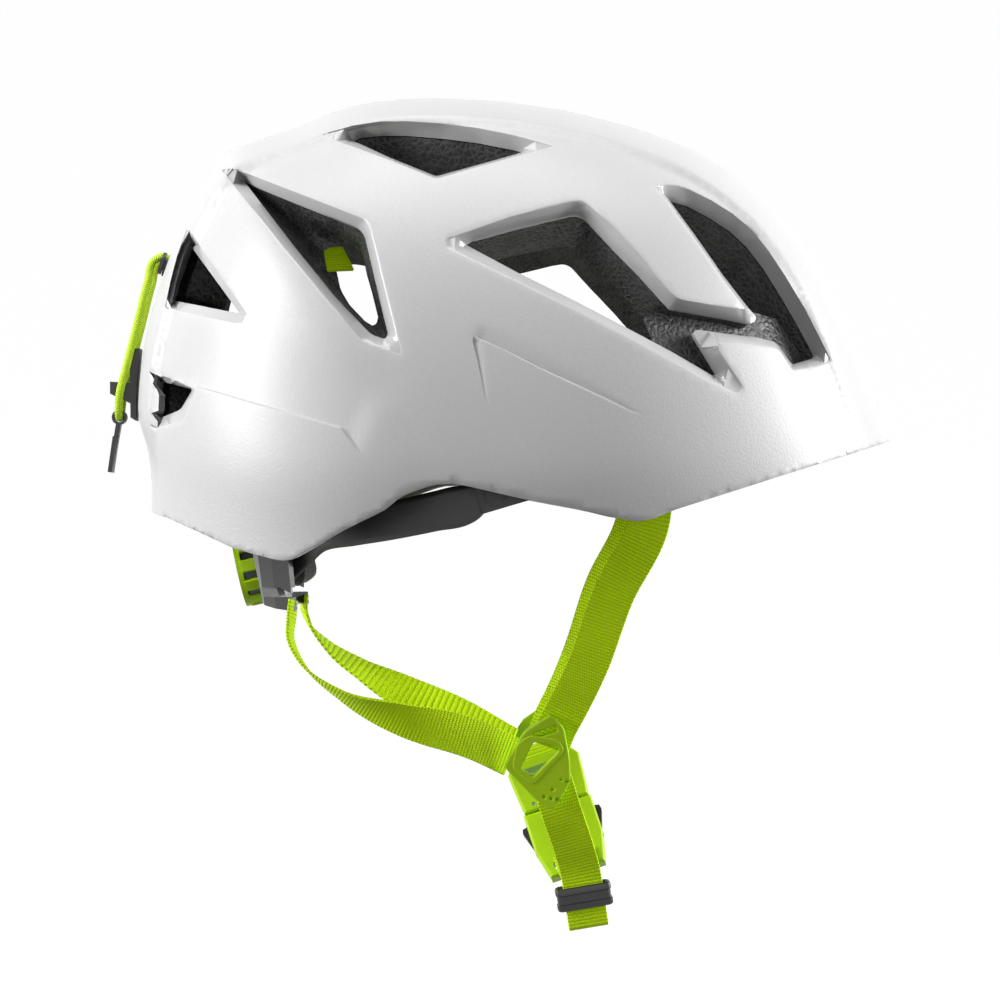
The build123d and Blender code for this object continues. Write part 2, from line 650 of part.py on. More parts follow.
PRONG = [(7.0, 4.6), (7.0, -1.0), (6.6, -11.6), (8.2, -13.0), (11.0, -12.8), (13.2, -11.2),
         (15.6, -3.2), (15.2, -1.6), (13.4, -1.2), (9.6, -0.4), (9.4, 4.6)]
for side, name in ((1, "a"), (-1, "b")):
    with BuildPart() as prong:
        with BuildSketch(buckle(-1.7)):
            with BuildLine():
                Polyline(*[(side * x, y) for x, y in PRONG], close=True)
            make_face()
            with Locations((side * 8.2, 6.0)):
                Circle(1.9)
            with BuildLine():
                Polyline(*[(side * x, y) for x, y in
                           ((9.2, -3.2), (13.2, -3.6), (12.0, -10.2), (9.4, -10.8))],
                         close=True)
            make_face(mode=Mode.SUBTRACT)
            with Locations((side * 8.2, 6.0)):
                Circle(0.8, mode=Mode.SUBTRACT)
        extrude(amount=3.4)
    save(prong.part, f"buckle_prong_{name}")

# chin webbing: the right part runs down, folds and returns to the buckle
KEEP_C = Vector(-13.4, -31.4, -148.0)
down = Vector(2.0, -2.2, -14.0).normalized()
wide_c = Vector(0.05, -0.98, 0.13)
wide_c = (wide_c - down * wide_c.dot(down)).normalized()
face_c = down.cross(wide_c).normalized()
if face_c.X > 0:
    face_c = face_c * -1


def kp(a, b, c):
    """a across, b down the webbing, c outward from the keeper centre."""
    v = KEEP_C + wide_c * a + down * b + face_c * c
    return (v.X, v.Y, v.Z)


wc = (wide_c.X, wide_c.Y, wide_c.Z)
CHIN_A = [((-32.0, -19.0, -103.0), (0, -0.96, 0.28)), ((-28.6, -22.5, -114.5), (0, -0.97, 0.25)),
          ((-21.0, -27.3, -129.0), (0, -0.98, 0.17)), (kp(0, -9.4, 0.9), wc),
          (kp(0, 11.0, 0.9), wc)]
CHIN_B = [(kp(0, 11.0, -0.9), wc), (kp(0, -8.2, -0.9), wc),
          (bk(0, -19.0, 5.2), (-WIDE.X, -WIDE.Y, -WIDE.Z))]
strand_a = strip(CHIN_A, WEB_W, WEB_T)
strand_b = strip(CHIN_B, WEB_W, WEB_T)
with BuildPart() as chin_fold:
    with BuildSketch(Plane(origin=kp(0, 10.5, 0), x_dir=wide_c, z_dir=down)):
        Rectangle(WEB_W + 0.1, 3.2)
    extrude(amount=1.6)
chin_strap_right = strand_a + chin_fold.part + strand_b
save(chin_strap_right, "chin_strap_right")

with BuildPart() as strap_keeper:
    with BuildSketch(Plane(origin=kp(0, -4.4, 0), x_dir=wide_c, z_dir=down)):
        RectangleRounded(21.0, 6.4, 1.6)
        Rectangle(16.6, 3.9, mode=Mode.SUBTRACT)
    extrude(amount=8.8)
save(strap_keeper.part, "strap_keeper")

save(strip([((31.6, -16.5, -95.5), (0, -0.9, 0.4)), (bk(0, 26.5, 0.3), (WIDE.X, WIDE.Y, WIDE.Z)),
            (bk(0, 24.4, 0.3), (WIDE.X, WIDE.Y, WIDE.Z))], WEB_W, WEB_T), "chin_strap_left")

# ------------------------------------------------------------------ strap anchors
with BuildPart() as rivet_group:
    for side in (1, -1):
        with Locations(Pos(side * 74.2, -54.1, 0) * Rot(0, 90, 0)):
            Cylinder(3.5, 1.2)
save(rivet_group.part, "strap_rivets")

# ------------------------------------------------------------------ elastic loop
LOOP = [(129.2, 89.6), (132.2, 80.5), (136.0, 66.5), (140.2, 50.0), (143.0, 38.0),
        (143.5, 31.2)]
HALF = [9.0, 9.0, 8.8, 8.4, 8.0, 7.6]
right_run = [(-h, y, z) for h, (y, z) in zip(HALF, LOOP)]
left_run = [(h, y, z) for h, (y, z) in zip(HALF, LOOP)]
route = right_run + left_run[::-1]


def route_radii(points):
    radii = []
    for a, b, c in zip(points, points[1:], points[2:]):
        u = (Vector(*b) - Vector(*a))
        v = (Vector(*c) - Vector(*b))
        turn = math.radians(u.get_angle(v))
        radii.append(min(0.45 * min(u.length, v.length) / math.tan(turn / 2), 400))
    return radii


radii = route_radii(route)
print("elastic loop radii", [round(r, 1) for r in radii])
with BuildPart() as bungee_loop:
    with BuildLine() as loop_path:
        FilletPolyline(*route, radius=radii)
    start = loop_path.line @ 0
    with BuildSketch(Plane(origin=start, z_dir=loop_path.line % 0)):
        Circle(CORD_D / 2)
    sweep()
    with Locations(loop_path.line @ 0, loop_path.line @ 1):
        Sphere(CORD_D / 2)
        Cylinder(CORD_D / 2, 1.2, rotation=(0, 90, 0))
save(bungee_loop.part, "bungee_loop")

with BuildPart() as cord_grommets:
    for side in (1, -1):
        spot = Pos(side * 9, *CORD_EXIT) * Rot(CORD_TILT, 0, 0)
        with Locations(spot * Pos(0, 0, -1.5)):
            Cylinder(2.6, 4.0)
        with Locations(spot * Pos(0, 0, 1.1)):
            Cylinder(4.2, 1.2)
save(cord_grommets.part, "cord_grommets")

with BuildPart() as bungee_hook:
    with BuildSketch(Plane.YZ):
        with BuildLine():
            Polyline((136.9, 29.8), (138.9, 31.0), (139.2, 54.0), (137.2, 57.0), (135.4, 57.0),
                     (136.6, 44.0), close=True)
        make_face()
    extrude(amount=6.0, both=True)
    with BuildSketch(Plane.YZ):
        with BuildLine():
            Polyline((138.4, 36.0), (146.8, 40.0), (146.8, 44.6), (138.4, 44.0), close=True)
        make_face()
    extrude(amount=4.0, both=True)
save(bungee_hook.part, "bungee_hook")

TAB = (143.5, 31.2)
with BuildPart() as pull_tab:
    with BuildSketch(Plane.YZ):
        with Locations(TAB):
            Circle(2.8)
        with BuildLine():
            Polyline((142.7, 29.5), (144.6, 29.5), (147.6, 10.6), (146.0, 10.3), close=True)
        make_face()
        with Locations(TAB):
            Circle(1.85, mode=Mode.SUBTRACT)
    extrude(amount=2.6, both=True)
    with BuildSketch(Plane.YZ):
        with BuildLine():
            Polyline((144.0, 24.0), (145.7, 24.0), (147.6, 10.6), (146.0, 10.3), close=True)
        make_face()
    extrude(amount=5.0, both=True)
save(pull_tab.part, "pull_tab")
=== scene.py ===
import math
import bpy
import numpy as np
from mathutils import Matrix, Vector
from mathutils.geometry import delaunay_2d_cdt


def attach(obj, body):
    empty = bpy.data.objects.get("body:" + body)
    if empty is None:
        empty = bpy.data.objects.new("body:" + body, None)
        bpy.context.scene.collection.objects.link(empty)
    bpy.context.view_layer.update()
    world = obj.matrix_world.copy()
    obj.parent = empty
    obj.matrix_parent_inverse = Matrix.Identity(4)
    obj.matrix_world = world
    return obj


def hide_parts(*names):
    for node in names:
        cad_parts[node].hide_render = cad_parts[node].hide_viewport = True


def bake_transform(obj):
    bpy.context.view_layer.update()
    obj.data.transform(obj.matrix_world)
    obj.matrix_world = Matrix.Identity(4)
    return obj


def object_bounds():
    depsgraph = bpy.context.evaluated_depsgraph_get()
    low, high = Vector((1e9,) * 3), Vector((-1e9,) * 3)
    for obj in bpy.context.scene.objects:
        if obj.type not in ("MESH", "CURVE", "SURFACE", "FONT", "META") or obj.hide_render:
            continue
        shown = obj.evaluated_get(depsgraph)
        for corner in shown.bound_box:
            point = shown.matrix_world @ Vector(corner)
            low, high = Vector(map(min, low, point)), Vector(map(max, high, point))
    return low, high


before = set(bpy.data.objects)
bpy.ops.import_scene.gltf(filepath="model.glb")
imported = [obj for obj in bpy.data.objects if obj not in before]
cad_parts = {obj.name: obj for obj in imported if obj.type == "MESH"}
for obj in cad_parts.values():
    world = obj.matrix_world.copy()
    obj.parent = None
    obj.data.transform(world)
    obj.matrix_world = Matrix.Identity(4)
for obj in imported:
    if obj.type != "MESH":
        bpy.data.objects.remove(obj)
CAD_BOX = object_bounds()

MM = 0.001
# ---------------------------------------------------------------- surface of the dome
# Side view outlines in mm (forward, up): the centre band and the sides.
BAND = [(-131.5, -40), (-131, -20), (-130.94, -4.53), (-130.75, 6.42), (-132.08, 18.87), (-133.4, 24.15), (-136.23,
    28.68), (-136.04, 37.74), (-135.09, 49.06), (-133.58, 60.38), (-131.32, 69.81), (-127.17, 83.02), (-123.77,
    93.21), (-119.43, 103.02), (-113.21, 116.23), (-105.66, 129.43), (-102.64, 131.7), (-89.43, 135.85), (-76.6,
    139.81), (-64.15, 145.66), (-51.7, 149.25), (-32.83, 151.13), (-15.09, 150.94), (3.77, 149.62), (26.42, 146.23),
    (49.06, 140.57), (71.7, 132.45), (86.79, 123.77), (101.89, 111.7), (116.98, 93.21), (124.53, 80), (132.08, 63.4),
    (139.62, 42.26), (143.4, 32.08), (144.91, 26.42), (147.17, 22.26), (150.5, 12), (154, 0), (156, -12)]
SIDE = [(-131.5, -40), (-131, -20), (-130.9, -4.5), (-130.9, 6.4), (-132, 18.9), (-132.4, 30), (-131.8, 45), (-129.6,
    60), (-126.8, 72), (-122.5, 86), (-117, 100), (-110.6, 113), (-103.2, 127), (-100, 129.2), (-88.6, 133.6), (-76,
    137.6), (-63.5, 143.4), (-51.2, 146.8), (-32.6, 148.8), (-15, 148.6), (3.6, 147.3), (26, 144), (48.3, 138.6),
    (70.6, 130.6), (85.4, 122.2), (100.3, 110.3), (115, 92.2), (122.4, 79.2), (129.8, 62.8), (137.6, 41.7), (141.8,
    31.5), (144.2, 26), (147, 22), (150.5, 12), (154, 0), (156, -12)]
# lower edge and vent outlines as (section angle, latitude) in degrees
RIM_AB = [(171.35, 90), (171.71, 68.8), (172.01, 65.49), (172.38, 62.28), (172.79, 59.34), (173.26, 56.62), (173.78,
    54.01), (174.35, 51.56), (174.98, 49.31), (175.67, 47.15), (176.33, 44.92), (176.78, 43.05), (177.24, 41.07),
    (177.66, 39.24), (178.05, 37.76), (178.6, 35.99), (178.91, 34.7), (179.11, 33.3), (178.78, 31.78), (177.99,
    30.63), (176.75, 29.37), (174.96, 27.8), (173.49, 26.65), (171.65, 25.36), (169.49, 23.99), (167.06, 22.57),
    (164.46, 21.11), (162.05, 19.83), (159.28, 18.48), (156.22, 17.16), (152.96, 15.95), (149.71, 14.93), (146.72,
    14.14), (140.68, 13.1), (135.46, 12.38), (131.28, 11.67), (126.26, 10.88), (121.09, 10.24), (116.64, 10.09),
    (110.93, 9.96), (106.11, 9.69), (101.48, 9.56), (92.88, 9.29), (88.83, 9.18), (83.92, 9.08), (78.3, 9.01), (72.2,
    9), (65.92, 9.07), (59.79, 9.25), (54.08, 9.6), (49, 10.09), (44.86, 10.64), (40.9, 11.31), (37.24, 12.08),
    (33.94, 12.92), (31.02, 13.78), (28.48, 14.63), (26.3, 15.45), (24.48, 16.21), (22.96, 16.87), (20.39, 18.07),
    (18.55, 18.97), (17.17, 19.69), (16.1, 20.31), (14.21, 21.77), (13.78, 22.95), (13.7, 24.31), (14.05, 25.4),
    (14.55, 27.2), (14.65, 27.98), (14.75, 28.91), (14.84, 29.96), (14.93, 31.1), (15.01, 32.29), (15.08, 33.51),
    (15.15, 34.72), (15.21, 35.88), (15.28, 37.17), (15.35, 38.48), (15.41, 39.82), (15.47, 41.17), (15.52, 42.54),
    (15.57, 43.92), (15.61, 45.31), (15.65, 46.74), (15.68, 48.21), (15.71, 49.72), (15.74, 51.25), (15.77, 52.78),
    (15.79, 54.3), (15.8, 55.79), (15.83, 58.33), (15.85, 60.82), (15.86, 63.27), (15.88, 65.36), (15.89, 69.69),
    (15.9, 73.28), (15.83, 90)]
RINGS = {}
RINGS["side_front"] = {"d": 4.6, "o": [(93.88, 41.77), (93.85, 42.04), (93.74, 42.25), (93.56, 42.43), (93.31, 42.55),
    (92.42, 42.86), (91.54, 43.19), (90.67, 43.52), (89.81, 43.86), (88.96, 44.22), (88.12, 44.58), (87.29, 44.95),
    (86.47, 45.33), (85.65, 45.73), (84.85, 46.13), (84.06, 46.55), (83.27, 46.99), (82.41, 47.38), (81.56, 47.78),
    (80.73, 48.2), (79.9, 48.62), (79.08, 49.05), (78.27, 49.5), (77.48, 49.97), (76.69, 50.46), (75.92, 50.96),
    (75.16, 51.48), (74.4, 52.02), (73.27, 52.56), (73, 52.66), (72.74, 52.7), (72.47, 52.69), (72.2, 52.63), (71.53,
    52.38), (70.81, 51.91), (70.08, 51.46), (69.34, 51.03), (68.59, 50.62), (67.84, 50.22), (67.08, 49.83), (66.31,
    49.46), (65.56, 48.98), (64.8, 48.52), (64.03, 48.07), (63.25, 47.64), (62.46, 47.23), (61.67, 46.84), (60.86,
    46.49), (60.06, 46.1), (59.25, 45.75), (58.42, 45.41), (57.59, 45.1), (56.76, 44.8), (55.88, 44.57), (55, 44.35),
    (54.11, 44.16), (53.21, 43.99), (52.19, 44.03), (51.77, 44.09), (51.37, 44.21), (50.98, 44.37), (50.61, 44.59),
    (49.87, 45.09), (49.15, 45.61), (48.43, 46.17), (47.73, 46.75), (47.03, 47.35), (46.35, 47.97), (45.7, 48.62),
    (45.06, 49.3), (44.43, 50), (43.81, 50.72), (43.2, 51.46), (42.64, 52.15), (42.53, 52.37), (42.69, 52.43), (43.48,
    52.39), (44.25, 52.38), (45.03, 52.39), (45.8, 52.41), (46.57, 52.44), (47.34, 52.49), (48.1, 52.55), (48.87,
    52.7), (49.64, 52.87), (50.41, 53.08), (51.16, 53.31), (51.92, 53.59), (52.66, 53.88), (53.4, 54.21), (54.14,
    54.55), (54.86, 54.92), (55.58, 55.32), (56.3, 55.74), (57.05, 56.18), (57.79, 56.66), (58.53, 57.17), (59.26,
    57.71), (59.98, 58.29), (60.7, 58.9), (61.4, 59.56), (62.12, 60.12), (62.83, 60.73), (63.53, 61.38), (63.67,
    61.63), (63.57, 61.92), (62.93, 62.79), (62.29, 63.72), (61.64, 64.28), (60.98, 64.9), (60.18, 65.19), (59.38,
    65.53), (58.59, 65.65), (57.8, 65.81), (57, 66.02), (56.22, 66.28), (55.55, 66.37), (54.88, 66.51), (54.22,
    66.67), (53.55, 66.87), (52.89, 67.1), (52.21, 67.09), (51.53, 67.12), (50.85, 67.18), (50.17, 67.25), (49.49,
    67.33), (48.8, 67.21), (48.09, 67.1), (47.39, 67.02), (46.68, 66.96), (45.97, 66.91), (45.19, 66.75), (44.41,
    66.59), (43.63, 66.46), (42.84, 66.38), (42.05, 66.34), (41.32, 66.26), (40.58, 66.23), (39.85, 66.23), (39.1,
    66.27), (38.36, 66.33), (37.62, 66.38), (36.87, 66.43), (36.12, 66.41), (35.37, 66.4), (34.62, 66.39), (33.86,
    66.39), (33.1, 66.39), (32.34, 66.39), (31.45, 66.4), (30.56, 66.41), (29.56, 66.42), (29.38, 66.4), (29.24,
    66.33), (29.16, 66.21), (29.13, 66.04), (29.11, 65.11), (29.12, 64.51), (29.15, 63.93), (29.2, 63.36), (29.28,
    62.81), (29.59, 60.98), (29.9, 59.27), (30.23, 57.66), (30.57, 56.14), (30.63, 55.92), (30.84, 55.63), (30.98,
    55.57), (31.84, 55.33), (32.7, 55.11), (33.56, 54.91), (33.83, 54.83), (34.09, 54.71), (34.36, 54.55), (34.61,
    54.36), (34.98, 54.03), (35.2, 53.78), (35.41, 53.49), (35.6, 53.17), (36.17, 52.16), (36.76, 51.18), (37.35,
    50.23), (37.95, 49.31), (38.58, 48.43), (39.21, 47.57), (39.85, 46.74), (40.38, 45.93), (40.93, 45.14), (41.09,
    44.85), (41.13, 44.58), (41.05, 44.35), (40.85, 44.14), (40.6, 43.97), (40.4, 43.85), (40.17, 43.77), (39.94,
    43.73), (39.68, 43.73), (38.74, 43.81), (37.8, 43.9), (36.86, 44.02), (35.91, 44.15), (34.97, 44.3), (34.02,
    44.46), (33.07, 44.63), (32.78, 44.65), (32.56, 44.56), (32.42, 44.38), (32.36, 44.1), (32.35, 43.63), (32.44,
    43.34), (32.61, 43.08), (32.86, 42.85), (33.65, 42.26), (34.46, 41.69), (35.27, 41.13), (36.1, 40.59), (36.95,
    40.06), (37.8, 39.54), (38.74, 39.05), (39.69, 38.58), (40.65, 38.13), (41.62, 37.71), (42.6, 37.31), (43.6,
    36.94), (44.6, 36.59), (45.64, 36.26), (46.68, 35.95), (47.73, 35.65), (48.79, 35.38), (49.86, 35.13), (50.94,
    34.92), (52.03, 34.74), (53.14, 34.57), (54.26, 34.42), (55.38, 34.3), (56.51, 34.2), (57.65, 34.12), (58.78,
    34.08), (59.92, 34.06), (61.07, 34.06), (62.21, 34.09), (63.36, 34.15), (64.5, 34.24), (65.64, 34.34), (66.78,
    34.45), (67.92, 34.55), (69.05, 34.67), (70.17, 34.81), (71.29, 34.96), (72.41, 35.13), (73.52, 35.31), (74.62,
    35.49), (75.71, 35.69), (76.79, 35.89), (77.87, 36.12), (78.93, 36.35), (79.98, 36.6), (81.03, 36.84), (82.08,
    37.09), (83.1, 37.35), (84.12, 37.62), (85.12, 37.9), (86.11, 38.2), (87.09, 38.5), (88.05, 38.81), (89, 39.14),
    (89.93, 39.47), (90.86, 39.81), (91.76, 40.16), (92.65, 40.52), (93.53, 40.89), (93.67, 40.97), (93.83, 41.2),
    (93.86, 41.36)], "h": [(90.35, 41.45, 90.31, 42.61), (90.51, 41.6, 90.47, 42.77), (90.35, 41.77, 90.31, 42.95),
    (89.23, 42.41, 89.2, 43.63), (88.35, 42.7, 88.33, 43.94), (87.47, 42.99, 87.46, 44.25), (86.61, 43.3, 86.59,
    44.58), (85.75, 43.62, 85.74, 44.92), (84.9, 43.95, 84.89, 45.27), (84.06, 44.29, 84.06, 45.64), (83.23, 44.65,
    83.23, 46.02), (82.41, 45.01, 82.42, 46.41), (81.6, 45.38, 81.61, 46.81), (80.85, 45.7, 80.88, 47.15), (80.11,
    46.03, 80.15, 47.5), (79.38, 46.36, 79.42, 47.86), (78.66, 46.7, 78.7, 48.23), (77.95, 47.06, 77.99, 48.61),
    (77.24, 47.42, 77.28, 49), (76.54, 47.8, 76.58, 49.41), (75.85, 48.19, 75.89, 49.84), (75.17, 48.6, 75.22, 50.27),
    (74.5, 49.01, 74.55, 50.72), (73.84, 49.43, 73.89, 51.18), (73.08, 49.76, 73.14, 51.53), (72.81, 49.84, 72.87,
    51.62), (72.54, 49.88, 72.6, 51.67), (72.26, 49.88, 72.33, 51.67), (71.98, 49.84, 72.05, 51.62), (71.84, 49.8,
    71.9, 51.58), (71.57, 49.73, 71.63, 51.5), (71.31, 49.62, 71.37, 51.38), (71.06, 49.49, 71.12, 51.24), (70.81,
    49.32, 70.87, 51.06), (70.07, 48.8, 70.12, 50.48), (69.32, 48.29, 69.37, 49.93), (68.56, 47.8, 68.6, 49.4),
    (67.79, 47.33, 67.83, 48.89), (67.01, 46.88, 67.05, 48.4), (66.22, 46.43, 66.26, 47.92), (65.42, 46, 65.47,
    47.45), (64.68, 45.64, 64.72, 47.06), (63.93, 45.28, 63.97, 46.69), (63.17, 44.95, 63.2, 46.33), (62.41, 44.63,
    62.42, 45.98), (61.64, 44.34, 61.63, 45.67), (60.86, 44.06, 60.84, 45.37), (60.08, 43.8, 60.04, 45.1), (59.29,
    43.57, 59.24, 44.85), (58.38, 43.28, 58.32, 44.54), (57.45, 43.01, 57.38, 44.26), (56.53, 42.77, 56.44, 44.01),
    (55.59, 42.56, 55.48, 43.78), (54.72, 42.39, 54.6, 43.61), (53.85, 42.24, 53.72, 43.45), (52.97, 42.1, 52.84,
    43.31), (52.09, 41.99, 51.94, 43.19), (51.83, 41.98, 51.68, 43.18), (51.58, 42.01, 51.42, 43.22), (51.34, 42.08,
    51.18, 43.29), (51.1, 42.19, 50.94, 43.41), (50.28, 42.69, 50.09, 43.95), (49.46, 43.22, 49.26, 44.52), (48.66,
    43.78, 48.45, 45.12), (47.97, 44.29, 47.74, 45.67), (47.28, 44.83, 47.05, 46.25), (46.6, 45.38, 46.37, 46.84),
    (45.93, 45.95, 45.71, 47.45), (45.27, 46.53, 45.05, 48.08), (44.62, 47.13, 44.4, 48.73), (43.99, 47.74, 43.76,
    49.39), (43.26, 48.44, 43.03, 50.16), (42.55, 49.17, 42.31, 50.95), (41.84, 49.94, 41.59, 51.8), (41.15, 50.74,
    40.89, 52.68), (40.48, 51.57, 40.2, 53.6), (40.31, 51.83, 40.04, 53.88), (40.21, 52.1, 39.94, 54.19), (40.17,
    52.39, 39.9, 54.51), (40.2, 52.7, 39.92, 54.85), (40.3, 53.13, 40.02, 55.33), (40.41, 53.31, 40.14, 55.52),
    (40.57, 53.39, 40.31, 55.6), (40.78, 53.38, 40.51, 55.59), (41.49, 53.24, 41.23, 55.43), (42.19, 53.12, 41.95,
    55.28), (42.9, 53.02, 42.67, 55.17), (43.61, 52.99, 43.39, 55.12), (44.32, 52.97, 44.11, 55.1), (45.02, 52.97,
    44.81, 55.09), (45.73, 52.98, 45.52, 55.1), (46.43, 53.01, 46.22, 55.12), (47.13, 53.04, 46.91, 55.16), (47.82,
    53.09, 47.61, 55.2), (48.52, 53.15, 48.31, 55.27), (49.2, 53.29, 49.01, 55.41), (49.89, 53.46, 49.72, 55.59),
    (50.57, 53.65, 50.42, 55.8), (51.25, 53.87, 51.11, 56.04), (51.92, 54.12, 51.8, 56.31), (52.59, 54.38, 52.48,
    56.6), (53.25, 54.67, 53.14, 56.92), (53.9, 54.98, 53.81, 57.27), (54.55, 55.31, 54.47, 57.63), (55.2, 55.65,
    55.12, 58.02), (55.91, 56.03, 55.84, 58.44), (56.61, 56.43, 56.56, 58.9), (57.3, 56.87, 57.26, 59.39), (57.99,
    57.33, 57.96, 59.92), (58.67, 57.82, 58.66, 60.49), (59.35, 58.35, 59.34, 61.09), (60.02, 58.9, 60.02, 61.74),
    (60.68, 59.49, 60.7, 62.43), (61.34, 60.12, 61.37, 63.18), (61.46, 60.34, 61.5, 63.43), (61.32, 60.47, 61.35,
    63.59), (60.58, 60.73, 60.61, 63.9), (59.85, 61.04, 59.87, 64.25), (59.13, 61.37, 59.13, 64.65), (58.41, 61.74,
    58.4, 65.1), (57.74, 61.82, 57.73, 65.19), (57.08, 61.92, 57.05, 65.31), (56.42, 62.06, 56.38, 65.47), (55.76,
    62.22, 55.7, 65.67), (55.1, 62.41, 55.04, 65.9), (54.4, 62.5, 54.33, 66.01), (53.71, 62.62, 53.63, 66.16), (53.01,
    62.76, 52.92, 66.34), (52.32, 62.93, 52.22, 66.56), (51.62, 63.13, 51.52, 66.81), (51.01, 63.1, 50.88, 66.77),
    (50.39, 63.09, 50.25, 66.77), (49.77, 63.12, 49.61, 66.82), (49.16, 63.18, 48.97, 66.9), (48.54, 63.27, 48.34,
    67.03), (47.81, 63.16, 47.61, 66.9), (47.09, 63.08, 46.88, 66.81), (46.36, 63.02, 46.16, 66.74), (45.63, 62.98,
    45.43, 66.7), (44.9, 62.96, 44.7, 66.68), (44.2, 62.81, 43.99, 66.5), (43.5, 62.68, 43.28, 66.35), (42.8, 62.58,
    42.57, 66.23), (42.09, 62.51, 41.84, 66.17), (41.38, 62.48, 41.12, 66.14), (40.66, 62.48, 40.39, 66.16), (40.02,
    62.47, 39.74, 66.16), (39.38, 62.48, 39.1, 66.19), (38.74, 62.51, 38.45, 66.24), (38.09, 62.57, 37.8, 66.32),
    (37.44, 62.64, 37.15, 66.42), (36.79, 62.73, 36.49, 66.55), (36.14, 62.84, 35.84, 66.7), (35.49, 62.91, 35.19,
    66.8), (34.84, 62.99, 34.54, 66.91), (34.18, 63.09, 33.89, 67.03), (33.52, 63.2, 33.23, 67.18), (32.86, 63.32,
    32.58, 67.33), (32.2, 63.45, 31.92, 67.51), (31.61, 63.53, 31.34, 67.61), (31.02, 63.62, 30.75, 67.73), (30.89,
    63.6, 30.62, 67.71), (30.72, 63.33, 30.45, 67.38), (30.67, 63.09, 30.4, 67.07), (30.62, 62.68, 30.36, 66.56),
    (30.61, 62.4, 30.34, 66.2), (30.62, 62.11, 30.35, 65.84), (30.65, 61.81, 30.38, 65.48), (30.83, 60.39, 30.57,
    63.74), (31.02, 59.04, 30.76, 62.14), (31.22, 57.75, 30.96, 60.63), (31.41, 56.52, 31.15, 59.21), (31.52, 56.22,
    31.26, 58.87), (31.7, 56.06, 31.44, 58.69), (32.37, 55.81, 32.1, 58.4), (33.04, 55.58, 32.77, 58.13), (33.7,
    55.35, 33.43, 57.88), (34.37, 55.14, 34.09, 57.63), (35.06, 54.91, 34.78, 57.37), (35.34, 54.79, 35.05, 57.22),
    (35.6, 54.6, 35.31, 57.02), (35.84, 54.37, 35.55, 56.75), (36.08, 54.07, 35.78, 56.41), (36.62, 53.3, 36.33,
    55.55), (37.16, 52.55, 36.88, 54.71), (37.72, 51.82, 37.43, 53.9), (38.31, 50.9, 38.03, 52.89), (38.91, 50.02,
    38.63, 51.92), (39.52, 49.17, 39.24, 50.98), (40.15, 48.34, 39.87, 50.08), (40.79, 47.55, 40.52, 49.22), (41.44,
    46.78, 41.17, 48.38), (42.1, 46.04, 41.85, 47.58), (42.71, 45.41, 42.46, 46.9), (43.33, 44.81, 43.09, 46.25),
    (43.96, 44.22, 43.73, 45.62), (44.6, 43.65, 44.38, 45.01), (45.26, 43.09, 45.03, 44.41), (45.42, 42.94, 45.19,
    44.24), (45.55, 42.76, 45.32, 44.05), (45.65, 42.57, 45.42, 43.85), (45.71, 42.36, 45.48, 43.63), (45.74, 42.07,
    45.51, 43.32), (45.68, 41.92, 45.45, 43.17), (45.56, 41.82, 45.33, 43.06), (45.37, 41.77, 45.14, 43.01), (44.53,
    41.67, 44.3, 42.91), (43.68, 41.59, 43.45, 42.82), (42.83, 41.52, 42.58, 42.76), (41.98, 41.47, 41.71, 42.72),
    (41.11, 41.44, 40.84, 42.7), (40.25, 41.44, 39.97, 42.7), (39.38, 41.45, 39.09, 42.72), (38.5, 41.48, 38.21,
    42.76), (37.62, 41.52, 37.33, 42.81), (37.37, 41.47, 37.07, 42.76), (37.22, 41.29, 36.92, 42.57), (37.17, 41.12,
    36.88, 42.38), (37.27, 40.91, 36.97, 42.17), (38.29, 40.37, 37.99, 41.58), (39.2, 39.92, 38.9, 41.1), (40.11,
    39.49, 39.83, 40.65), (41.04, 39.09, 40.77, 40.21), (41.98, 38.71, 41.72, 39.81), (42.93, 38.36, 42.68, 39.43),
    (43.89, 38.03, 43.65, 39.07), (44.86, 37.72, 44.62, 38.74), (45.83, 37.43, 45.6, 38.43), (46.76, 37.13, 46.53,
    38.12), (47.7, 36.85, 47.47, 37.82), (48.65, 36.59, 48.42, 37.54), (49.6, 36.35, 49.4, 37.28), (50.56, 36.15,
    50.38, 37.05), (51.53, 35.96, 51.37, 36.85), (52.5, 35.8, 52.35, 36.68), (53.48, 35.66, 53.34, 36.53), (54.46,
    35.53, 54.34, 36.39), (55.45, 35.42, 55.34, 36.27), (56.45, 35.33, 56.35, 36.17), (57.44, 35.26, 57.37, 36.09),
    (58.44, 35.22, 58.38, 36.04), (59.45, 35.19, 59.4, 36.01), (60.45, 35.18, 60.42, 36), (61.46, 35.19, 61.44,
    36.02), (62.47, 35.23, 62.47, 36.06), (63.47, 35.29, 63.49, 36.12), (64.48, 35.37, 64.51, 36.2), (65.48, 35.46,
    65.52, 36.3), (66.48, 35.56, 66.52, 36.4), (67.48, 35.67, 67.52, 36.51), (68.51, 35.77, 68.55, 36.62), (69.53,
    35.89, 69.58, 36.75), (70.55, 36.02, 70.61, 36.89), (71.57, 36.17, 71.62, 37.04), (72.58, 36.33, 72.63, 37.21),
    (73.58, 36.49, 73.63, 37.38), (74.58, 36.67, 74.63, 37.56), (75.57, 36.85, 75.61, 37.75), (76.56, 37.04, 76.6,
    37.95), (77.53, 37.24, 77.58, 38.17), (78.5, 37.46, 78.55, 38.4), (79.46, 37.68, 79.5, 38.63), (80.42, 37.92,
    80.45, 38.88), (81.3, 38.17, 81.32, 39.15), (82.17, 38.43, 82.19, 39.42), (83.04, 38.7, 83.04, 39.7), (83.89,
    38.97, 83.89, 39.98), (84.73, 39.25, 84.73, 40.28), (85.57, 39.54, 85.56, 40.59), (86.39, 39.84, 86.38, 40.9),
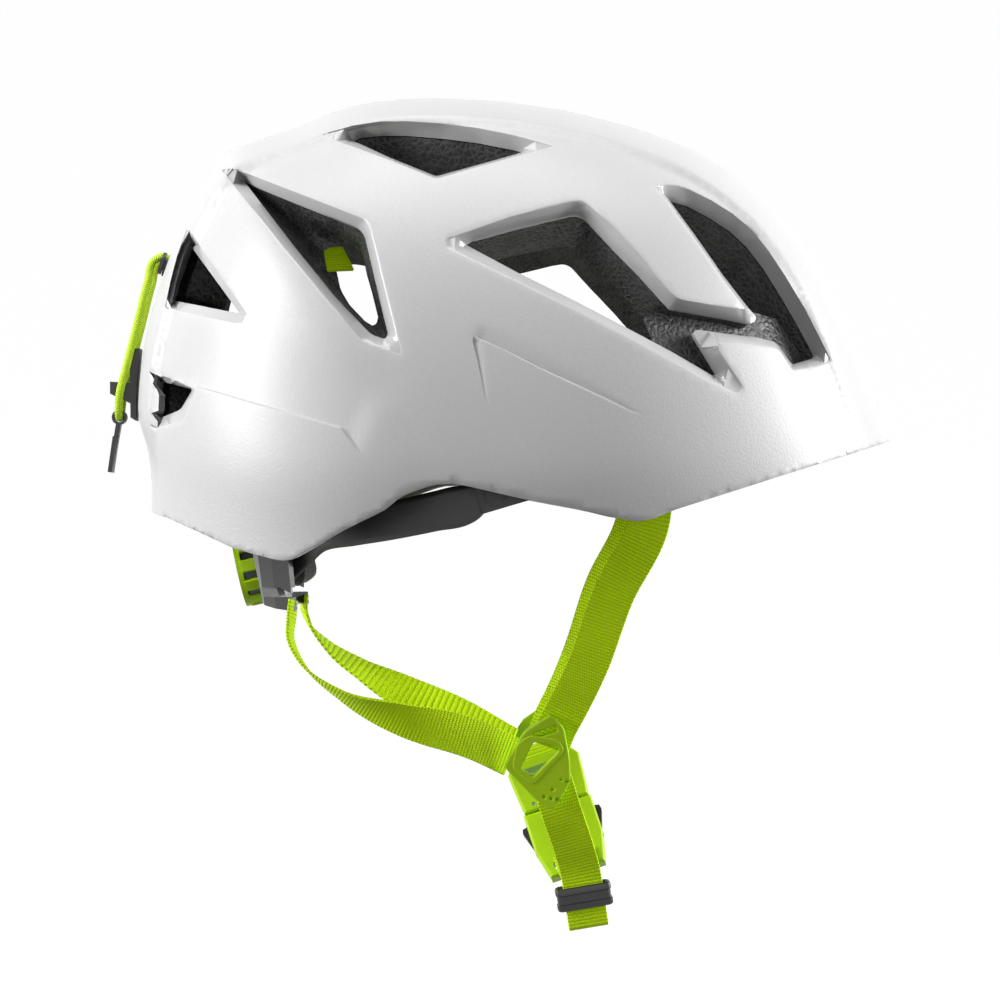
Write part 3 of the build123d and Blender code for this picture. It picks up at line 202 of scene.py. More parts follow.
    (87.2, 40.14, 87.19, 41.23), (88.01, 40.46, 87.99, 41.56), (88.8, 40.78, 88.77, 41.9), (89.58, 41.11, 89.54,
    42.25)]}
RINGS["crown"] = {"d": 4.4, "o": [(108.99, 70.67), (108.27, 70.64), (107.58, 70.51), (106.89, 70.42), (106.21, 70.36),
    (105.52, 70.33), (104.83, 70.32), (104.15, 70.22), (103.46, 70.16), (102.78, 70.12), (102.09, 70.1), (101.4,
    70.1), (100.73, 70.01), (100.06, 69.94), (99.39, 69.87), (98.71, 69.81), (98.03, 69.75), (97.38, 69.67), (96.73,
    69.59), (96.08, 69.51), (95.42, 69.45), (94.76, 69.39), (94.09, 69.34), (93.43, 69.29), (92.77, 69.19), (92.11,
    69.09), (91.44, 68.99), (90.77, 68.88), (90.1, 68.76), (89.43, 68.62), (88.75, 68.49), (88.07, 68.23), (87.39,
    67.98), (86.71, 67.75), (86.02, 67.54), (85.34, 67.34), (84.65, 67.17), (83.96, 67.02), (83.2, 66.71), (82.44,
    66.43), (81.68, 66.16), (80.92, 65.91), (80.15, 65.67), (79.39, 65.45), (78.62, 65.24), (79.25, 64.32), (79.92,
    63.61), (80.58, 62.93), (81.26, 62.28), (81.94, 61.66), (82.65, 61.02), (83.36, 60.41), (84.08, 59.83), (84.81,
    59.27), (85.55, 58.74), (86.29, 58.23), (87.04, 57.74), (87.8, 57.27), (88.56, 56.82), (89.35, 56.35), (90.14,
    55.91), (90.94, 55.48), (91.75, 55.06), (92.56, 54.67), (93.37, 54.29), (94.19, 53.93), (94.48, 53.84), (94.76,
    53.82), (95.04, 53.88), (95.3, 54.02), (95.99, 54.47), (96.66, 54.95), (97.33, 55.45), (97.99, 55.97), (98.64,
    56.51), (99.28, 57.08), (99.92, 57.67), (100.54, 58.3), (101.16, 58.94), (101.82, 59.61), (102.47, 60.33),
    (103.11, 61.08), (103.74, 61.89), (104.37, 62.76), (104.98, 63.7), (105.59, 64.71), (106.19, 65.81), (106.78, 67),
    (107.36, 68.32), (107.92, 69.51), (108.46, 70.04)], "h": [(105.43, 66.73, 105.49, 71.34), (105.54, 67.05, 105.6,
    71.8), (105.51, 67.54, 105.57, 72.5), (105.36, 67.71, 105.42, 72.73), (104.83, 68.11, 104.87, 73.31), (104.64,
    68.23, 104.68, 73.5), (104.45, 68.3, 104.48, 73.6), (104.26, 68.32, 104.29, 73.62), (104.07, 68.28, 104.09,
    73.57), (103.47, 68.09, 103.47, 73.28), (102.87, 67.94, 102.85, 73.06), (102.26, 67.82, 102.23, 72.9), (101.66,
    67.74, 101.62, 72.78), (100.97, 67.47, 100.93, 72.4), (100.29, 67.24, 100.23, 72.07), (99.6, 67.03, 99.54, 71.78),
    (98.91, 66.85, 98.85, 71.54), (98.21, 66.7, 98.15, 71.33), (97.55, 66.43, 97.48, 70.96), (96.88, 66.19, 96.81,
    70.64), (96.21, 65.97, 96.13, 70.36), (95.53, 65.78, 95.45, 70.11), (94.86, 65.62, 94.78, 69.9), (94.18, 65.48,
    94.1, 69.71), (93.5, 65.35, 93.42, 69.55), (92.82, 65.17, 92.75, 69.31), (92.14, 64.99, 92.07, 69.08), (91.45,
    64.83, 91.39, 68.88), (90.77, 64.69, 90.71, 68.7), (90.08, 64.56, 90.03, 68.53), (89.39, 64.45, 89.35, 68.39),
    (88.7, 64.34, 88.66, 68.25), (88, 64.13, 87.97, 67.98), (87.3, 63.93, 87.28, 67.73), (86.6, 63.74, 86.58, 67.5),
    (85.89, 63.57, 85.89, 67.28), (85.19, 63.41, 85.18, 67.09), (84.48, 63.27, 84.48, 66.92), (83.77, 63.15, 83.77,
    66.76), (83.16, 62.98, 83.16, 66.54), (82.55, 62.81, 82.56, 66.34), (82.41, 62.67, 82.42, 66.16), (82.41, 62.34,
    82.42, 65.77), (82.46, 62.06, 82.47, 65.43), (82.58, 61.78, 82.59, 65.08), (83.3, 61.12, 83.3, 64.28), (83.94,
    60.57, 83.94, 63.64), (84.59, 60.05, 84.58, 63.02), (85.24, 59.55, 85.23, 62.43), (85.89, 59.06, 85.88, 61.87),
    (86.56, 58.6, 86.54, 61.33), (87.22, 58.16, 87.2, 60.82), (87.9, 57.73, 87.87, 60.32), (88.58, 57.31, 88.54,
    59.84), (89.28, 56.9, 89.24, 59.38), (89.99, 56.51, 89.94, 58.93), (90.7, 56.13, 90.65, 58.5), (91.42, 55.76,
    91.36, 58.09), (92.14, 55.41, 92.08, 57.69), (92.87, 55.07, 92.81, 57.31), (93.61, 54.74, 93.53, 56.94), (94.34,
    54.43, 94.27, 56.59), (94.56, 54.37, 94.48, 56.52), (94.77, 54.36, 94.69, 56.51), (94.97, 54.41, 94.89, 56.56),
    (95.17, 54.51, 95.09, 56.67), (95.79, 54.92, 95.72, 57.13), (96.41, 55.36, 96.34, 57.62), (97.02, 55.81, 96.95,
    58.12), (97.62, 56.28, 97.56, 58.65), (98.22, 56.77, 98.16, 59.21), (98.81, 57.28, 98.75, 59.79), (99.39, 57.82,
    99.33, 60.4), (99.97, 58.37, 99.91, 61.03), (100.53, 58.95, 100.48, 61.7), (101.1, 59.55, 101.04, 62.4), (101.66,
    60.27, 101.62, 63.24), (102.22, 61.03, 102.19, 64.13), (102.78, 61.83, 102.75, 65.09), (103.32, 62.68, 103.31,
    66.12), (103.86, 63.59, 103.86, 67.24), (104.39, 64.56, 104.41, 68.47), (104.92, 65.6, 104.95, 69.82)]}
RINGS["rear_upper"] = {"d": 4.2, "o": [(122.36, 73.68), (122.34, 74.4), (122.17, 74.14), (121.56, 72.44), (121.13,
    71.24), (120.96, 71), (120.81, 70.84), (120.66, 70.7), (120.53, 70.72), (120.09, 70.14), (119.64, 69.42), (119.17,
    67.7), (118.69, 66.18), (118.21, 64.82), (117.71, 63.58), (117.21, 62.43), (116.7, 61.35), (116.19, 60.34),
    (115.66, 59.37), (115.12, 58.44), (114.57, 57.55), (114.01, 56.66), (113.43, 55.79), (112.84, 54.94), (112.25,
    54.1), (111.64, 53.28), (111.01, 52.46), (110.38, 51.66), (109.73, 50.87), (109.07, 50.1), (108.4, 49.35),
    (107.72, 48.63), (107.02, 47.94), (106.85, 47.75), (106.7, 47.55), (106.58, 47.32), (106.48, 47.07), (106.37,
    46.7), (106.33, 46.45), (106.3, 46.19), (106.3, 45.92), (106.33, 44.93), (106.36, 43.96), (106.4, 43), (106.44,
    42.07), (106.48, 41.15), (106.52, 40.24), (106.56, 39.35), (106.61, 38.48), (106.66, 37.61), (106.7, 36.76),
    (106.75, 35.92), (106.8, 35.08), (106.84, 34.25), (106.89, 33.43), (106.94, 32.62), (106.99, 31.82), (107.05,
    31.03), (107.11, 30.25), (107.17, 29.47), (107.23, 28.7), (107.3, 27.94), (107.37, 27.18), (107.44, 26.98),
    (107.62, 26.8), (107.79, 26.7), (108.07, 26.68), (109.38, 27.22), (110.5, 27.73), (111.59, 28.22), (112.64,
    28.72), (113.66, 29.2), (114.64, 29.68), (114.96, 29.86), (115.22, 30.07), (115.42, 30.29), (115.57, 30.53),
    (115.92, 31.26), (116.25, 32), (116.57, 32.74), (116.87, 33.49), (117.17, 34.25), (117.45, 35.03), (117.72,
    35.81), (117.98, 36.61), (118.2, 37.42), (118.41, 38.25), (118.62, 39.09), (118.81, 39.95), (119.01, 40.83),
    (119.19, 41.72), (119.37, 42.63), (119.54, 43.55), (119.71, 44.51), (119.88, 45.48), (120.03, 46.48), (120.19,
    47.5), (120.34, 48.55), (120.49, 49.64), (120.62, 50.71), (120.74, 51.82), (120.87, 52.96), (120.99, 54.15),
    (121.11, 55.38), (121.22, 56.67), (121.34, 58.02), (121.45, 59.44), (121.56, 60.94), (121.67, 62.54), (121.78,
    64.26), (121.88, 66.14), (121.99, 68.22), (122.09, 69.98), (122.18, 71.02), (122.26, 71.08)], "h": [(120.6, 68.35,
    120.89, 73.51), (120.13, 66.76, 120.34, 71.19), (119.7, 65.3, 119.85, 69.23), (119.28, 63.99, 119.36, 67.54),
    (118.84, 62.8, 118.88, 66.08), (118.41, 61.69, 118.4, 64.75), (117.96, 60.66, 117.93, 63.54), (117.5, 59.7,
    117.46, 62.42), (117.04, 58.78, 116.98, 61.37), (116.57, 57.91, 116.51, 60.37), (116.09, 57.07, 116.03, 59.43),
    (115.6, 56.27, 115.54, 58.52), (115.11, 55.48, 115.05, 57.65), (114.61, 54.73, 114.57, 56.81), (114.11, 53.99,
    114.08, 55.99), (113.59, 53.27, 113.58, 55.19), (113.07, 52.55, 113.07, 54.41), (112.54, 51.85, 112.56, 53.63),
    (112, 51.15, 112.04, 52.87), (111.45, 50.46, 111.51, 52.12), (110.89, 49.77, 110.96, 51.37), (110.31, 49.09,
    110.41, 50.64), (109.73, 48.42, 109.83, 49.92), (109.14, 47.77, 109.24, 49.21), (108.54, 47.12, 108.64, 48.52),
    (108.31, 46.86, 108.4, 48.23), (108.11, 46.56, 108.2, 47.92), (107.95, 46.25, 108.04, 47.58), (107.83, 45.91,
    107.91, 47.22), (107.78, 45.75, 107.86, 47.05), (107.69, 45.41, 107.77, 46.68), (107.63, 45.07, 107.71, 46.32),
    (107.6, 44.73, 107.68, 45.96), (107.61, 44.38, 107.69, 45.59), (107.67, 43.5, 107.75, 44.66), (107.72, 42.64,
    107.81, 43.74), (107.79, 41.78, 107.87, 42.84), (107.85, 40.95, 107.94, 41.96), (107.92, 40.12, 108, 41.09),
    (107.99, 39.31, 108.07, 40.24), (108.06, 38.51, 108.14, 39.4), (108.14, 37.71, 108.22, 38.57), (108.22, 36.93,
    108.3, 37.75), (108.29, 36.2, 108.38, 36.99), (108.38, 35.48, 108.45, 36.23), (108.46, 34.76, 108.54, 35.48),
    (108.55, 34.05, 108.63, 34.74), (108.64, 33.34, 108.72, 34.02), (108.73, 32.65, 108.81, 33.29), (108.83, 31.96,
    108.91, 32.58), (108.93, 31.28, 109.01, 31.87), (109.03, 30.6, 109.11, 31.17), (109.15, 29.93, 109.23, 30.48),
    (109.2, 29.77, 109.28, 30.31), (109.3, 29.63, 109.38, 30.17), (109.46, 29.51, 109.54, 30.04), (109.67, 29.41,
    109.74, 29.93), (110, 29.3, 110.07, 29.82), (110.23, 29.28, 110.3, 29.8), (110.47, 29.31, 110.53, 29.84), (110.69,
    29.39, 110.76, 29.92), (112.01, 30.05, 112.04, 30.59), (112.42, 30.28, 112.45, 30.83), (112.78, 30.53, 112.78,
    31.1), (113.06, 30.81, 113.07, 31.39), (113.3, 31.11, 113.29, 31.7), (113.71, 31.78, 113.7, 32.39), (114.11,
    32.45, 114.09, 33.09), (114.49, 33.13, 114.47, 33.79), (114.86, 33.81, 114.84, 34.51), (115.22, 34.5, 115.19,
    35.23), (115.56, 35.2, 115.54, 35.95), (115.9, 35.91, 115.87, 36.69), (116.22, 36.62, 116.2, 37.44), (116.53,
    37.35, 116.51, 38.19), (116.74, 38.09, 116.72, 38.97), (116.95, 38.84, 116.93, 39.75), (117.14, 39.6, 117.13,
    40.55), (117.33, 40.37, 117.33, 41.36), (117.52, 41.15, 117.52, 42.19), (117.7, 41.95, 117.7, 43.03), (117.88,
    42.76, 117.88, 43.88), (118.05, 43.59, 118.06, 44.76), (118.21, 44.43, 118.23, 45.65), (118.37, 45.29, 118.4,
    46.56), (118.53, 46.17, 118.57, 47.5), (118.68, 47.06, 118.73, 48.46), (118.83, 47.98, 118.89, 49.44), (118.98,
    48.92, 119.05, 50.45), (119.1, 49.89, 119.18, 51.49), (119.22, 50.88, 119.32, 52.57), (119.34, 51.9, 119.44,
    53.68), (119.46, 52.95, 119.57, 54.83), (119.57, 54.04, 119.69, 56.03), (119.68, 55.16, 119.82, 57.28), (119.79,
    56.33, 119.93, 58.59), (119.9, 57.55, 120.07, 59.97), (120, 58.82, 120.17, 61.42), (120.11, 60.16, 120.31, 62.98),
    (120.21, 61.57, 120.41, 64.65), (120.31, 63.07, 120.55, 66.46), (120.41, 64.68, 120.65, 68.48), (120.5, 66.42,
    120.78, 70.78)]}
RINGS["rear_middle"] = {"d": 1.8, "o": [(130.66, 76.37), (130.54, 76.22), (130.41, 75.64), (130.29, 74.74), (130.27,
    74.06), (130.31, 71.37), (130.38, 71.37), (130.44, 70.3), (130.5, 68.6), (130.56, 66.47), (130.61, 64.56),
    (130.68, 62.8), (130.74, 61.18), (130.81, 59.66), (130.88, 58.21), (130.96, 56.84), (131.03, 55.53), (131.11,
    54.28), (131.2, 53.07), (131.29, 51.9), (131.38, 50.77), (131.47, 49.67), (131.57, 48.6), (131.67, 47.56),
    (131.78, 46.55), (131.89, 45.56), (132, 45.41), (132.19, 45.46), (132.39, 45.68), (132.96, 46.85), (133.51,
    48.07), (134.05, 49.32), (134.58, 50.63), (135.09, 51.99), (135.59, 53.41), (136.08, 54.9), (136.56, 56.47),
    (137.03, 58.14), (137.49, 59.92), (137.94, 61.83), (138.38, 63.93), (138.81, 66.25), (139.24, 68.92), (139.65,
    71.08), (140.03, 71.98), (140.09, 71.38), (140.08, 71.71), (140, 71.82), (139.85, 71.88), (139.09, 72.07),
    (138.34, 72.49), (137.61, 72.94), (136.88, 73.42), (136.25, 73.67), (135.63, 73.95), (135.02, 74.28), (134.42,
    74.67), (133.82, 75.13), (133.18, 75.27), (132.54, 75.47), (131.9, 75.73), (131.28, 76.03)], "h": [(131.53, 71.31,
    131.95, 83.31), (131.42, 71.17, 131.9, 88.37), (131.47, 70.13, 131.83, 77.35), (131.53, 70.25, 131.85, 73.74),
    (131.58, 68.55, 131.88, 71.03), (131.62, 66.59, 131.92, 68.75), (131.67, 64.83, 131.97, 66.75), (131.72, 63.2,
    132.01, 64.94), (131.77, 61.68, 132.07, 63.28), (131.83, 60.26, 132.12, 61.74), (131.89, 58.91, 132.18, 60.29),
    (131.95, 57.62, 132.24, 58.91), (132.01, 56.39, 132.3, 57.61), (132.08, 55.21, 132.36, 56.36), (132.15, 54.07,
    132.43, 55.16), (132.22, 52.96, 132.5, 54), (132.29, 51.9, 132.57, 52.89), (132.37, 50.86, 132.65, 51.8), (132.45,
    49.85, 132.73, 50.76), (132.53, 49.67, 132.8, 50.56), (132.69, 49.91, 132.97, 50.82), (133.2, 51.12, 133.48,
    52.08), (133.69, 52.37, 133.98, 53.4), (134.18, 53.67, 134.47, 54.77), (134.66, 55.04, 134.95, 56.21), (135.12,
    56.47, 135.42, 57.73), (135.58, 57.98, 135.88, 59.34), (136.03, 59.58, 136.33, 61.07), (136.47, 61.29, 136.77,
    62.93), (136.91, 63.15, 137.21, 64.97), (137.33, 65.17, 137.64, 67.25), (137.75, 67.44, 138.07, 69.86), (138.17,
    70.05, 138.49, 73.04), (138.54, 70.37, 138.92, 77.44), (138.62, 70.4, 139.02, 79.11), (138.63, 71.92, 139.04,
    80.75), (138.56, 71.89, 138.98, 82.37), (138.41, 71.84, 138.85, 83.71), (137.83, 71.38, 138.26, 82.61), (137.25,
    71.23, 137.69, 83.23), (136.69, 71.44, 137.12, 83.44), (136.13, 71.52, 136.56, 83.52), (135.57, 71.66, 136.01,
    83.66), (135.03, 72.04, 135.47, 84.04), (134.32, 71.71, 134.75, 83.71), (133.61, 71.55, 134.04, 83.55), (132.91,
    71.44, 133.34, 83.44), (132.22, 71.37, 132.64, 83.37)]}
RINGS["rear_lower"] = {"d": 2.6, "o": [(149.34, 72.9), (149.09, 70.91), (148.98, 70.81), (148.83, 71.01), (148.63,
    68.17), (148.44, 65.69), (148.24, 63.49), (148.12, 61.58), (147.99, 59.8), (147.87, 58.14), (147.74, 56.58),
    (147.73, 56.19), (147.81, 55.95), (147.96, 55.85), (148.19, 55.9), (149.14, 56.38), (150.11, 56.89), (151.07,
    57.45), (152.05, 58.06), (153.02, 58.72), (153.28, 58.96), (153.53, 59.28), (153.75, 59.69), (153.95, 60.19),
    (154.7, 62.45), (155.43, 64.98), (156.15, 67.91), (156.86, 71.47), (156.98, 71.83), (157, 72.19), (156.92, 72.36),
    (156.74, 71.51), (155.87, 71.34), (155, 72.27), (154.15, 71.17), (153.31, 71.11), (152.49, 71.13), (151.67,
    70.99), (150.87, 70.92), (150.08, 70.89)], "h": [(150.03, 71.28, 150.58, 78.15), (149.79, 71.2, 150.34, 77.64),
    (149.65, 70.48, 150.18, 75.98), (149.4, 67.65, 149.91, 71.84), (149.15, 65.23, 149.65, 68.71), (148.9, 63.07,
    149.38, 66.09), (148.64, 61.11, 149.12, 63.8), (148.38, 59.29, 148.86, 61.73), (148.12, 57.6, 148.59, 59.82),
    (148.08, 57.19, 148.54, 59.37), (148.13, 56.95, 148.59, 59.1), (148.26, 56.88, 148.73, 59.03), (148.49, 56.99,
    148.95, 59.16), (149.5, 57.76, 149.98, 60.04), (150.53, 58.59, 151.01, 61), (151.55, 59.5, 152.04, 62.05),
    (151.81, 59.78, 152.3, 62.38), (152.05, 60.13, 152.55, 62.79), (152.28, 60.56, 152.78, 63.28), (152.5, 61.06, 153,
    63.87), (153.14, 62.82, 153.65, 65.94), (153.78, 64.74, 154.29, 68.28), (154.4, 66.89, 154.93, 71.04), (155.02,
    69.34, 155.56, 74.53), (155.15, 70.23, 155.69, 75.93), (154.98, 70.54, 155.53, 76.45), (154.25, 70.59, 154.8,
    76.5), (153.52, 70.68, 154.07, 76.6), (152.81, 70.79, 153.35, 76.75), (152.1, 70.95, 152.65, 76.97), (151.4,
    71.12, 151.95, 77.26), (150.71, 71.22, 151.26, 77.64)]}
CREASES = {}
CREASES["rear_a"] = [(147.09, 55.73), (146.62, 53.18), (146.12, 50.8), (145.6, 48.58), (145.05, 46.48), (144.47,
    44.48), (143.86, 42.58), (143.22, 40.75), (142.5, 38.92), (141.73, 37.16), (140.92, 35.46), (140.05, 33.81),
    (139.12, 32.21), (138.13, 30.65), (137.07, 29.13), (135.92, 27.66), (134.68, 26.22), (132.85, 24.36)]
CREASES["rear_b"] = [(132.85, 24.36), (133.12, 23.05), (133.42, 21.76), (133.82, 20.37), (134.28, 19)]
CREASES["side_a"] = [(87.96, 27.96), (85.44, 27.49), (82.84, 27.07), (80.17, 26.68), (77.66, 26.28), (75.1, 25.94),
    (72.48, 25.63), (69.82, 25.36), (67.18, 25.22), (64.54, 25.11), (61.9, 25.07), (59.28, 25.12), (56.88, 25.24),
    (54.52, 25.44), (52.19, 25.7), (49.9, 26.05), (47.52, 26.49), (45.2, 27), (42.93, 27.56), (41.03, 28.43)]
CREASES["side_v"] = [(88.83, 27.53), (87.78, 25.56), (86.92, 24.09), (85.96, 22.63), (85.15, 21.55), (84.26, 20.48),
    (83.28, 19.43)]
FOAM_GROW = {"side_front": 0.1, "crown": 0.5, "rear_upper": 0.5, "rear_middle": 0.5, "rear_lower": 0.5}
FOAM_T = 22.0
SIGN_REAR, SIGN_A, SIGN_V = 1, 1, 1

FC, ZC, W0, NEXP = -11.3, -22.6, 108.0, 2.6
XB_A = np.array([-30, 10, 22, 40, 60, 75, 90, 105, 120, 135, 150, 165, 180, 230.0])
XB = np.array([52, 52, 50, 47, 44.5, 43, 42.5, 42, 41, 40, 38, 36, 36, 36.0])


def polar_table(pts, sig):
    p = np.array(pts, float)
    q = [p[0]]
    for a, b in zip(p[:-1], p[1:]):
        n = max(2, int(np.linalg.norm(b - a)))
        q += [a + (b - a) * i / n for i in range(1, n + 1)]
    q = np.array(q)
    al = np.degrees(np.arctan2(q[:, 1] - ZC, q[:, 0] - FC))
    al = np.where(al < -90, al + 360, al)
    r = np.hypot(q[:, 1] - ZC, q[:, 0] - FC)
    o = np.argsort(al, kind="stable")
    g = np.arange(-30, 230.01, 0.25)
    rr = np.interp(g, al[o], r[o])
    k = np.arange(-int(4 * sig / 0.25), int(4 * sig / 0.25) + 1) * 0.25
    w = np.exp(-0.5 * (k / sig) ** 2)
    w /= w.sum()
    return g, np.convolve(np.pad(rr, len(k) // 2, mode="edge"), w, mode="valid")


GA, SB = polar_table(BAND, 1.6)
_, SS = polar_table(SIDE, 2.2)


def ss(t):
    t = np.clip(t, 0, 1)
    return t * t * t * (t * (6 * t - 15) + 10)


def surf(al, be, band=True):
    """Surface point (lateral, forward, up); al in degrees, be in radians."""
    al = np.asarray(al, float)
    be = np.asarray(be, float)
    sb, sd = np.interp(al, GA, SB), np.interp(al, GA, SS)
    q = np.abs(np.sin(be))
    lat = W0 * np.sqrt(np.clip(1 - q ** NEXP, 0, None))
    t = ss((np.interp(al, XB_A, XB) + 2 - lat) / 4) if band else 0.0
    s = sd + (sb - sd) * t
    f = FC + s * q * np.cos(np.radians(al))
    z = ZC + s * q * np.sin(np.radians(al))
    taper = (1 - 0.06 * ss((22 - z) / 60)) * (1 - 0.05 * ss((f - 10) / 130) - 0.03 * ss((-f - 40) / 100))
    return np.stack([lat * taper * np.where(be > np.pi / 2, -1, 1), f, z], -1)


def deep(al, be_deg, off=0.0, band=True):
    """Point moved out along the surface normal by off."""
    al = np.asarray(al, float)
    be = np.radians(np.asarray(be_deg, float))
    p = surf(al, be, band)
    e = 2e-3
    da = surf(al + 0.1, be, band) - surf(al - 0.1, be, band)
    db = surf(al, be + e, band) - surf(al, np.maximum(be - e, 0), band)
    n = np.cross(da, db)
    ln = np.linalg.norm(n, axis=-1, keepdims=True)
    n = np.where(ln > 1e-9, n / np.maximum(ln, 1e-12), np.array([1.0, 0, 0]))
    n = np.where(np.sum(n * (p - np.array([0, FC, ZC])), -1, keepdims=True) < 0, -n, n)
    n = np.where((np.degrees(be) < 1.5)[..., None], np.array([1.0, 0, 0]), n)
    off = np.asarray(off, float)
    return p + n * (off[..., None] if off.ndim else off)


K = 2.88


def dom(al, be):
    a = np.radians(np.asarray(al, float))
    r = K * np.asarray(be, float)
    return np.stack([r * np.cos(a), r * np.sin(a)], -1)


def undom(uv):
    r = np.hypot(uv[:, 0], uv[:, 1])
    al = np.degrees(np.arctan2(uv[:, 1], uv[:, 0]))
    return np.where(al < -90, al + 360, al), r / K


def inside(pts, poly):
    x, y = pts[:, 0], pts[:, 1]
    c = np.zeros(len(pts), bool)
    n = len(poly)
    for i in range(n):
        x0, y0 = poly[i]
        x1, y1 = poly[(i + 1) % n]
        if y0 == y1:
            continue
        k = ((y0 > y) != (y1 > y)) & (x < (x1 - x0) * (y - y0) / (y1 - y0) + x0)
        c ^= k
    return c


def near(pts, lines):
    """Distance from pts to the nearest of some polylines' vertices (dense)."""
    best = np.full(len(pts), 1e9)
    for ln in lines:
        for k in range(0, len(ln), 200):
            d = pts[:, None, :] - ln[None, k:k + 200, :]
            best = np.minimum(best, np.sqrt((d * d).sum(-1)).min(1))
    return best


def seg_near(pts, line, closed=False):
    """(distance, parameter along, signed side) from pts to one polyline."""
    m = len(line) if closed else len(line) - 1
    best = np.full(len(pts), 1e9)
    along = np.zeros(len(pts))
    side = np.zeros(len(pts))
    seg = np.array([np.linalg.norm(line[(i + 1) % len(line)] - line[i]) for i in range(m)])
    tot = seg.sum()
    run = 0.0
    for i in range(m):
        a, b = line[i], line[(i + 1) % len(line)]
        d = b - a
        t = np.clip(((pts - a) @ d) / max(d @ d, 1e-9), 0, 1)
        v = pts - (a + t[:, None] * d)
        dist = np.hypot(v[:, 0], v[:, 1])
        k = dist < best
        best = np.where(k, dist, best)
        along = np.where(k, (run + t * seg[i]) / tot, along)
        side = np.where(k, np.sign(d[0] * v[:, 1] - d[1] * v[:, 0]), side)
        run += seg[i]
    return best, along, side


def offset_loop(loop, d):
    """Closed loop moved sideways by d; positive grows the loop."""
    n = len(loop)
    area = 0.5 * sum(loop[i][0] * loop[(i + 1) % n][1] - loop[(i + 1) % n][0] * loop[i][1] for i in range(n))
    sgn = 1 if area > 0 else -1
    t = np.roll(loop, -1, 0) - np.roll(loop, 1, 0)
    t /= np.maximum(np.linalg.norm(t, axis=1, keepdims=True), 1e-9)
    return loop + sgn * d * np.stack([t[:, 1], -t[:, 0]], -1)


def hexgrid(lo, hi, h):
    out = []
    y, k = lo[1], 0
    while y < hi[1]:
        x = lo[0] + (h / 2 if k % 2 else 0)
        while x < hi[0]:
            out.append((x, y))
            x += h
        y += h * 0.866
        k += 1
    return np.array(out)


def to_world(p, side=-1):
    """(lateral, forward, up) in mm to the row frame in metres."""
    return np.stack([side * p[..., 0], -p[..., 1], p[..., 2]], -1) * MM


def new_mesh(name, verts, faces, mats=(), face_mat=None, sharp=None, smooth=True):
    me = bpy.data.meshes.new(name)
    me.from_pydata([tuple(map(float, v)) for v in verts], [], [tuple(int(i) for i in f) for f in faces])
    me.validate()
    me.update()
    ob = bpy.data.objects.new(name, me)
    bpy.context.scene.collection.objects.link(ob)
    for m in mats:
        me.materials.append(m)
    if face_mat is not None and len(face_mat) == len(me.polygons):
        me.polygons.foreach_set("material_index", np.array(face_mat, np.int32))
    if smooth:
        me.polygons.foreach_set("use_smooth", np.ones(len(me.polygons), bool))
        if sharp:
            me.set_sharp_from_angle(angle=math.radians(sharp))
    return ob


# ---------------------------------------------------------------- materials
def srgb(h):
    v = [int(h[i:i + 2], 16) / 255 for i in (0, 2, 4)]
    return tuple((c / 12.92 if c <= 0.04045 else ((c + 0.055) / 1.055) ** 2.4) for c in v) + (1.0,)


class Mat:
    def __init__(self, name, rough=0.5, **kw):
        self.m = bpy.data.materials.new(name)
        self.m.use_nodes = True
        self.t = self.m.node_tree
        self.b = next(n for n in self.t.nodes if n.type == "BSDF_PRINCIPLED")
        self.b.inputs["Roughness"].default_value = rough
        for k, v in kw.items():
            self.b.inputs[k.replace("_", " ")].default_value = v

    def n(self, kind, **props):
        node = self.t.nodes.new(kind)
        for k, v in props.items():
            if k in node.inputs:
                node.inputs[k].default_value = v
            else:
                setattr(node, k, v)
        return node

    def l(self, a, b):
        self.t.links.new(a, b)

    def coord(self, which="Object", scale=(1, 1, 1)):
        c = self.n("ShaderNodeTexCoord")
        mp = self.n("ShaderNodeMapping")
        mp.inputs["Scale"].default_value = scale
        self.l(c.outputs[which], mp.inputs["Vector"])
        return mp.outputs["Vector"]

    def noise(self, vec, scale, detail=3.0, rough=0.5):
        n = self.n("ShaderNodeTexNoise")
        n.inputs["Scale"].default_value = scale
        n.inputs["Detail"].default_value = detail
        n.inputs["Roughness"].default_value = rough
        self.l(vec, n.inputs["Vector"])
        return n.outputs["Fac"]

    def ramp(self, fac, stops, interp="LINEAR"):
        r = self.n("ShaderNodeValToRGB")
        r.color_ramp.interpolation = interp
        e = r.color_ramp.elements
        while len(e) < len(stops):
            e.new(0.5)
        for el, (p, c) in zip(e, stops):
            el.position = p
            el.color = c if len(c) == 4 else (*c, 1)
        self.l(fac, r.inputs["Fac"])
        return r.outputs["Color"]

    def math(self, op, a, b=None, c=None, clamp=False):
        n = self.n("ShaderNodeMath")
        n.operation = op
        n.use_clamp = clamp
        for i, v in enumerate((a, b, c)):
            if v is None:
                continue
            if isinstance(v, (int, float)):
                n.inputs[i].default_value = v
            else:
                self.l(v, n.inputs[i])
        return n.outputs[0]

    def bump(self, height, strength=0.3, dist=0.0005, chain=None):
        n = self.n("ShaderNodeBump")
        n.inputs["Strength"].default_value = strength
        n.inputs["Distance"].default_value = dist
        self.l(height, n.inputs["Height"])
        if chain is not None:
            self.l(chain, n.inputs["Normal"])
        return n.outputs["Normal"]

    def out(self, color=None, rough=None, normal=None):
        if color is not None:
            self.l(color, self.b.inputs["Base Color"])
        if rough is not None:
            self.l(rough, self.b.inputs["Roughness"])
        if normal is not None:
            self.l(normal, self.b.inputs["Normal"])
        return self.m


def grey(v, a=1.0):
    return (v, v, v, 1.0)


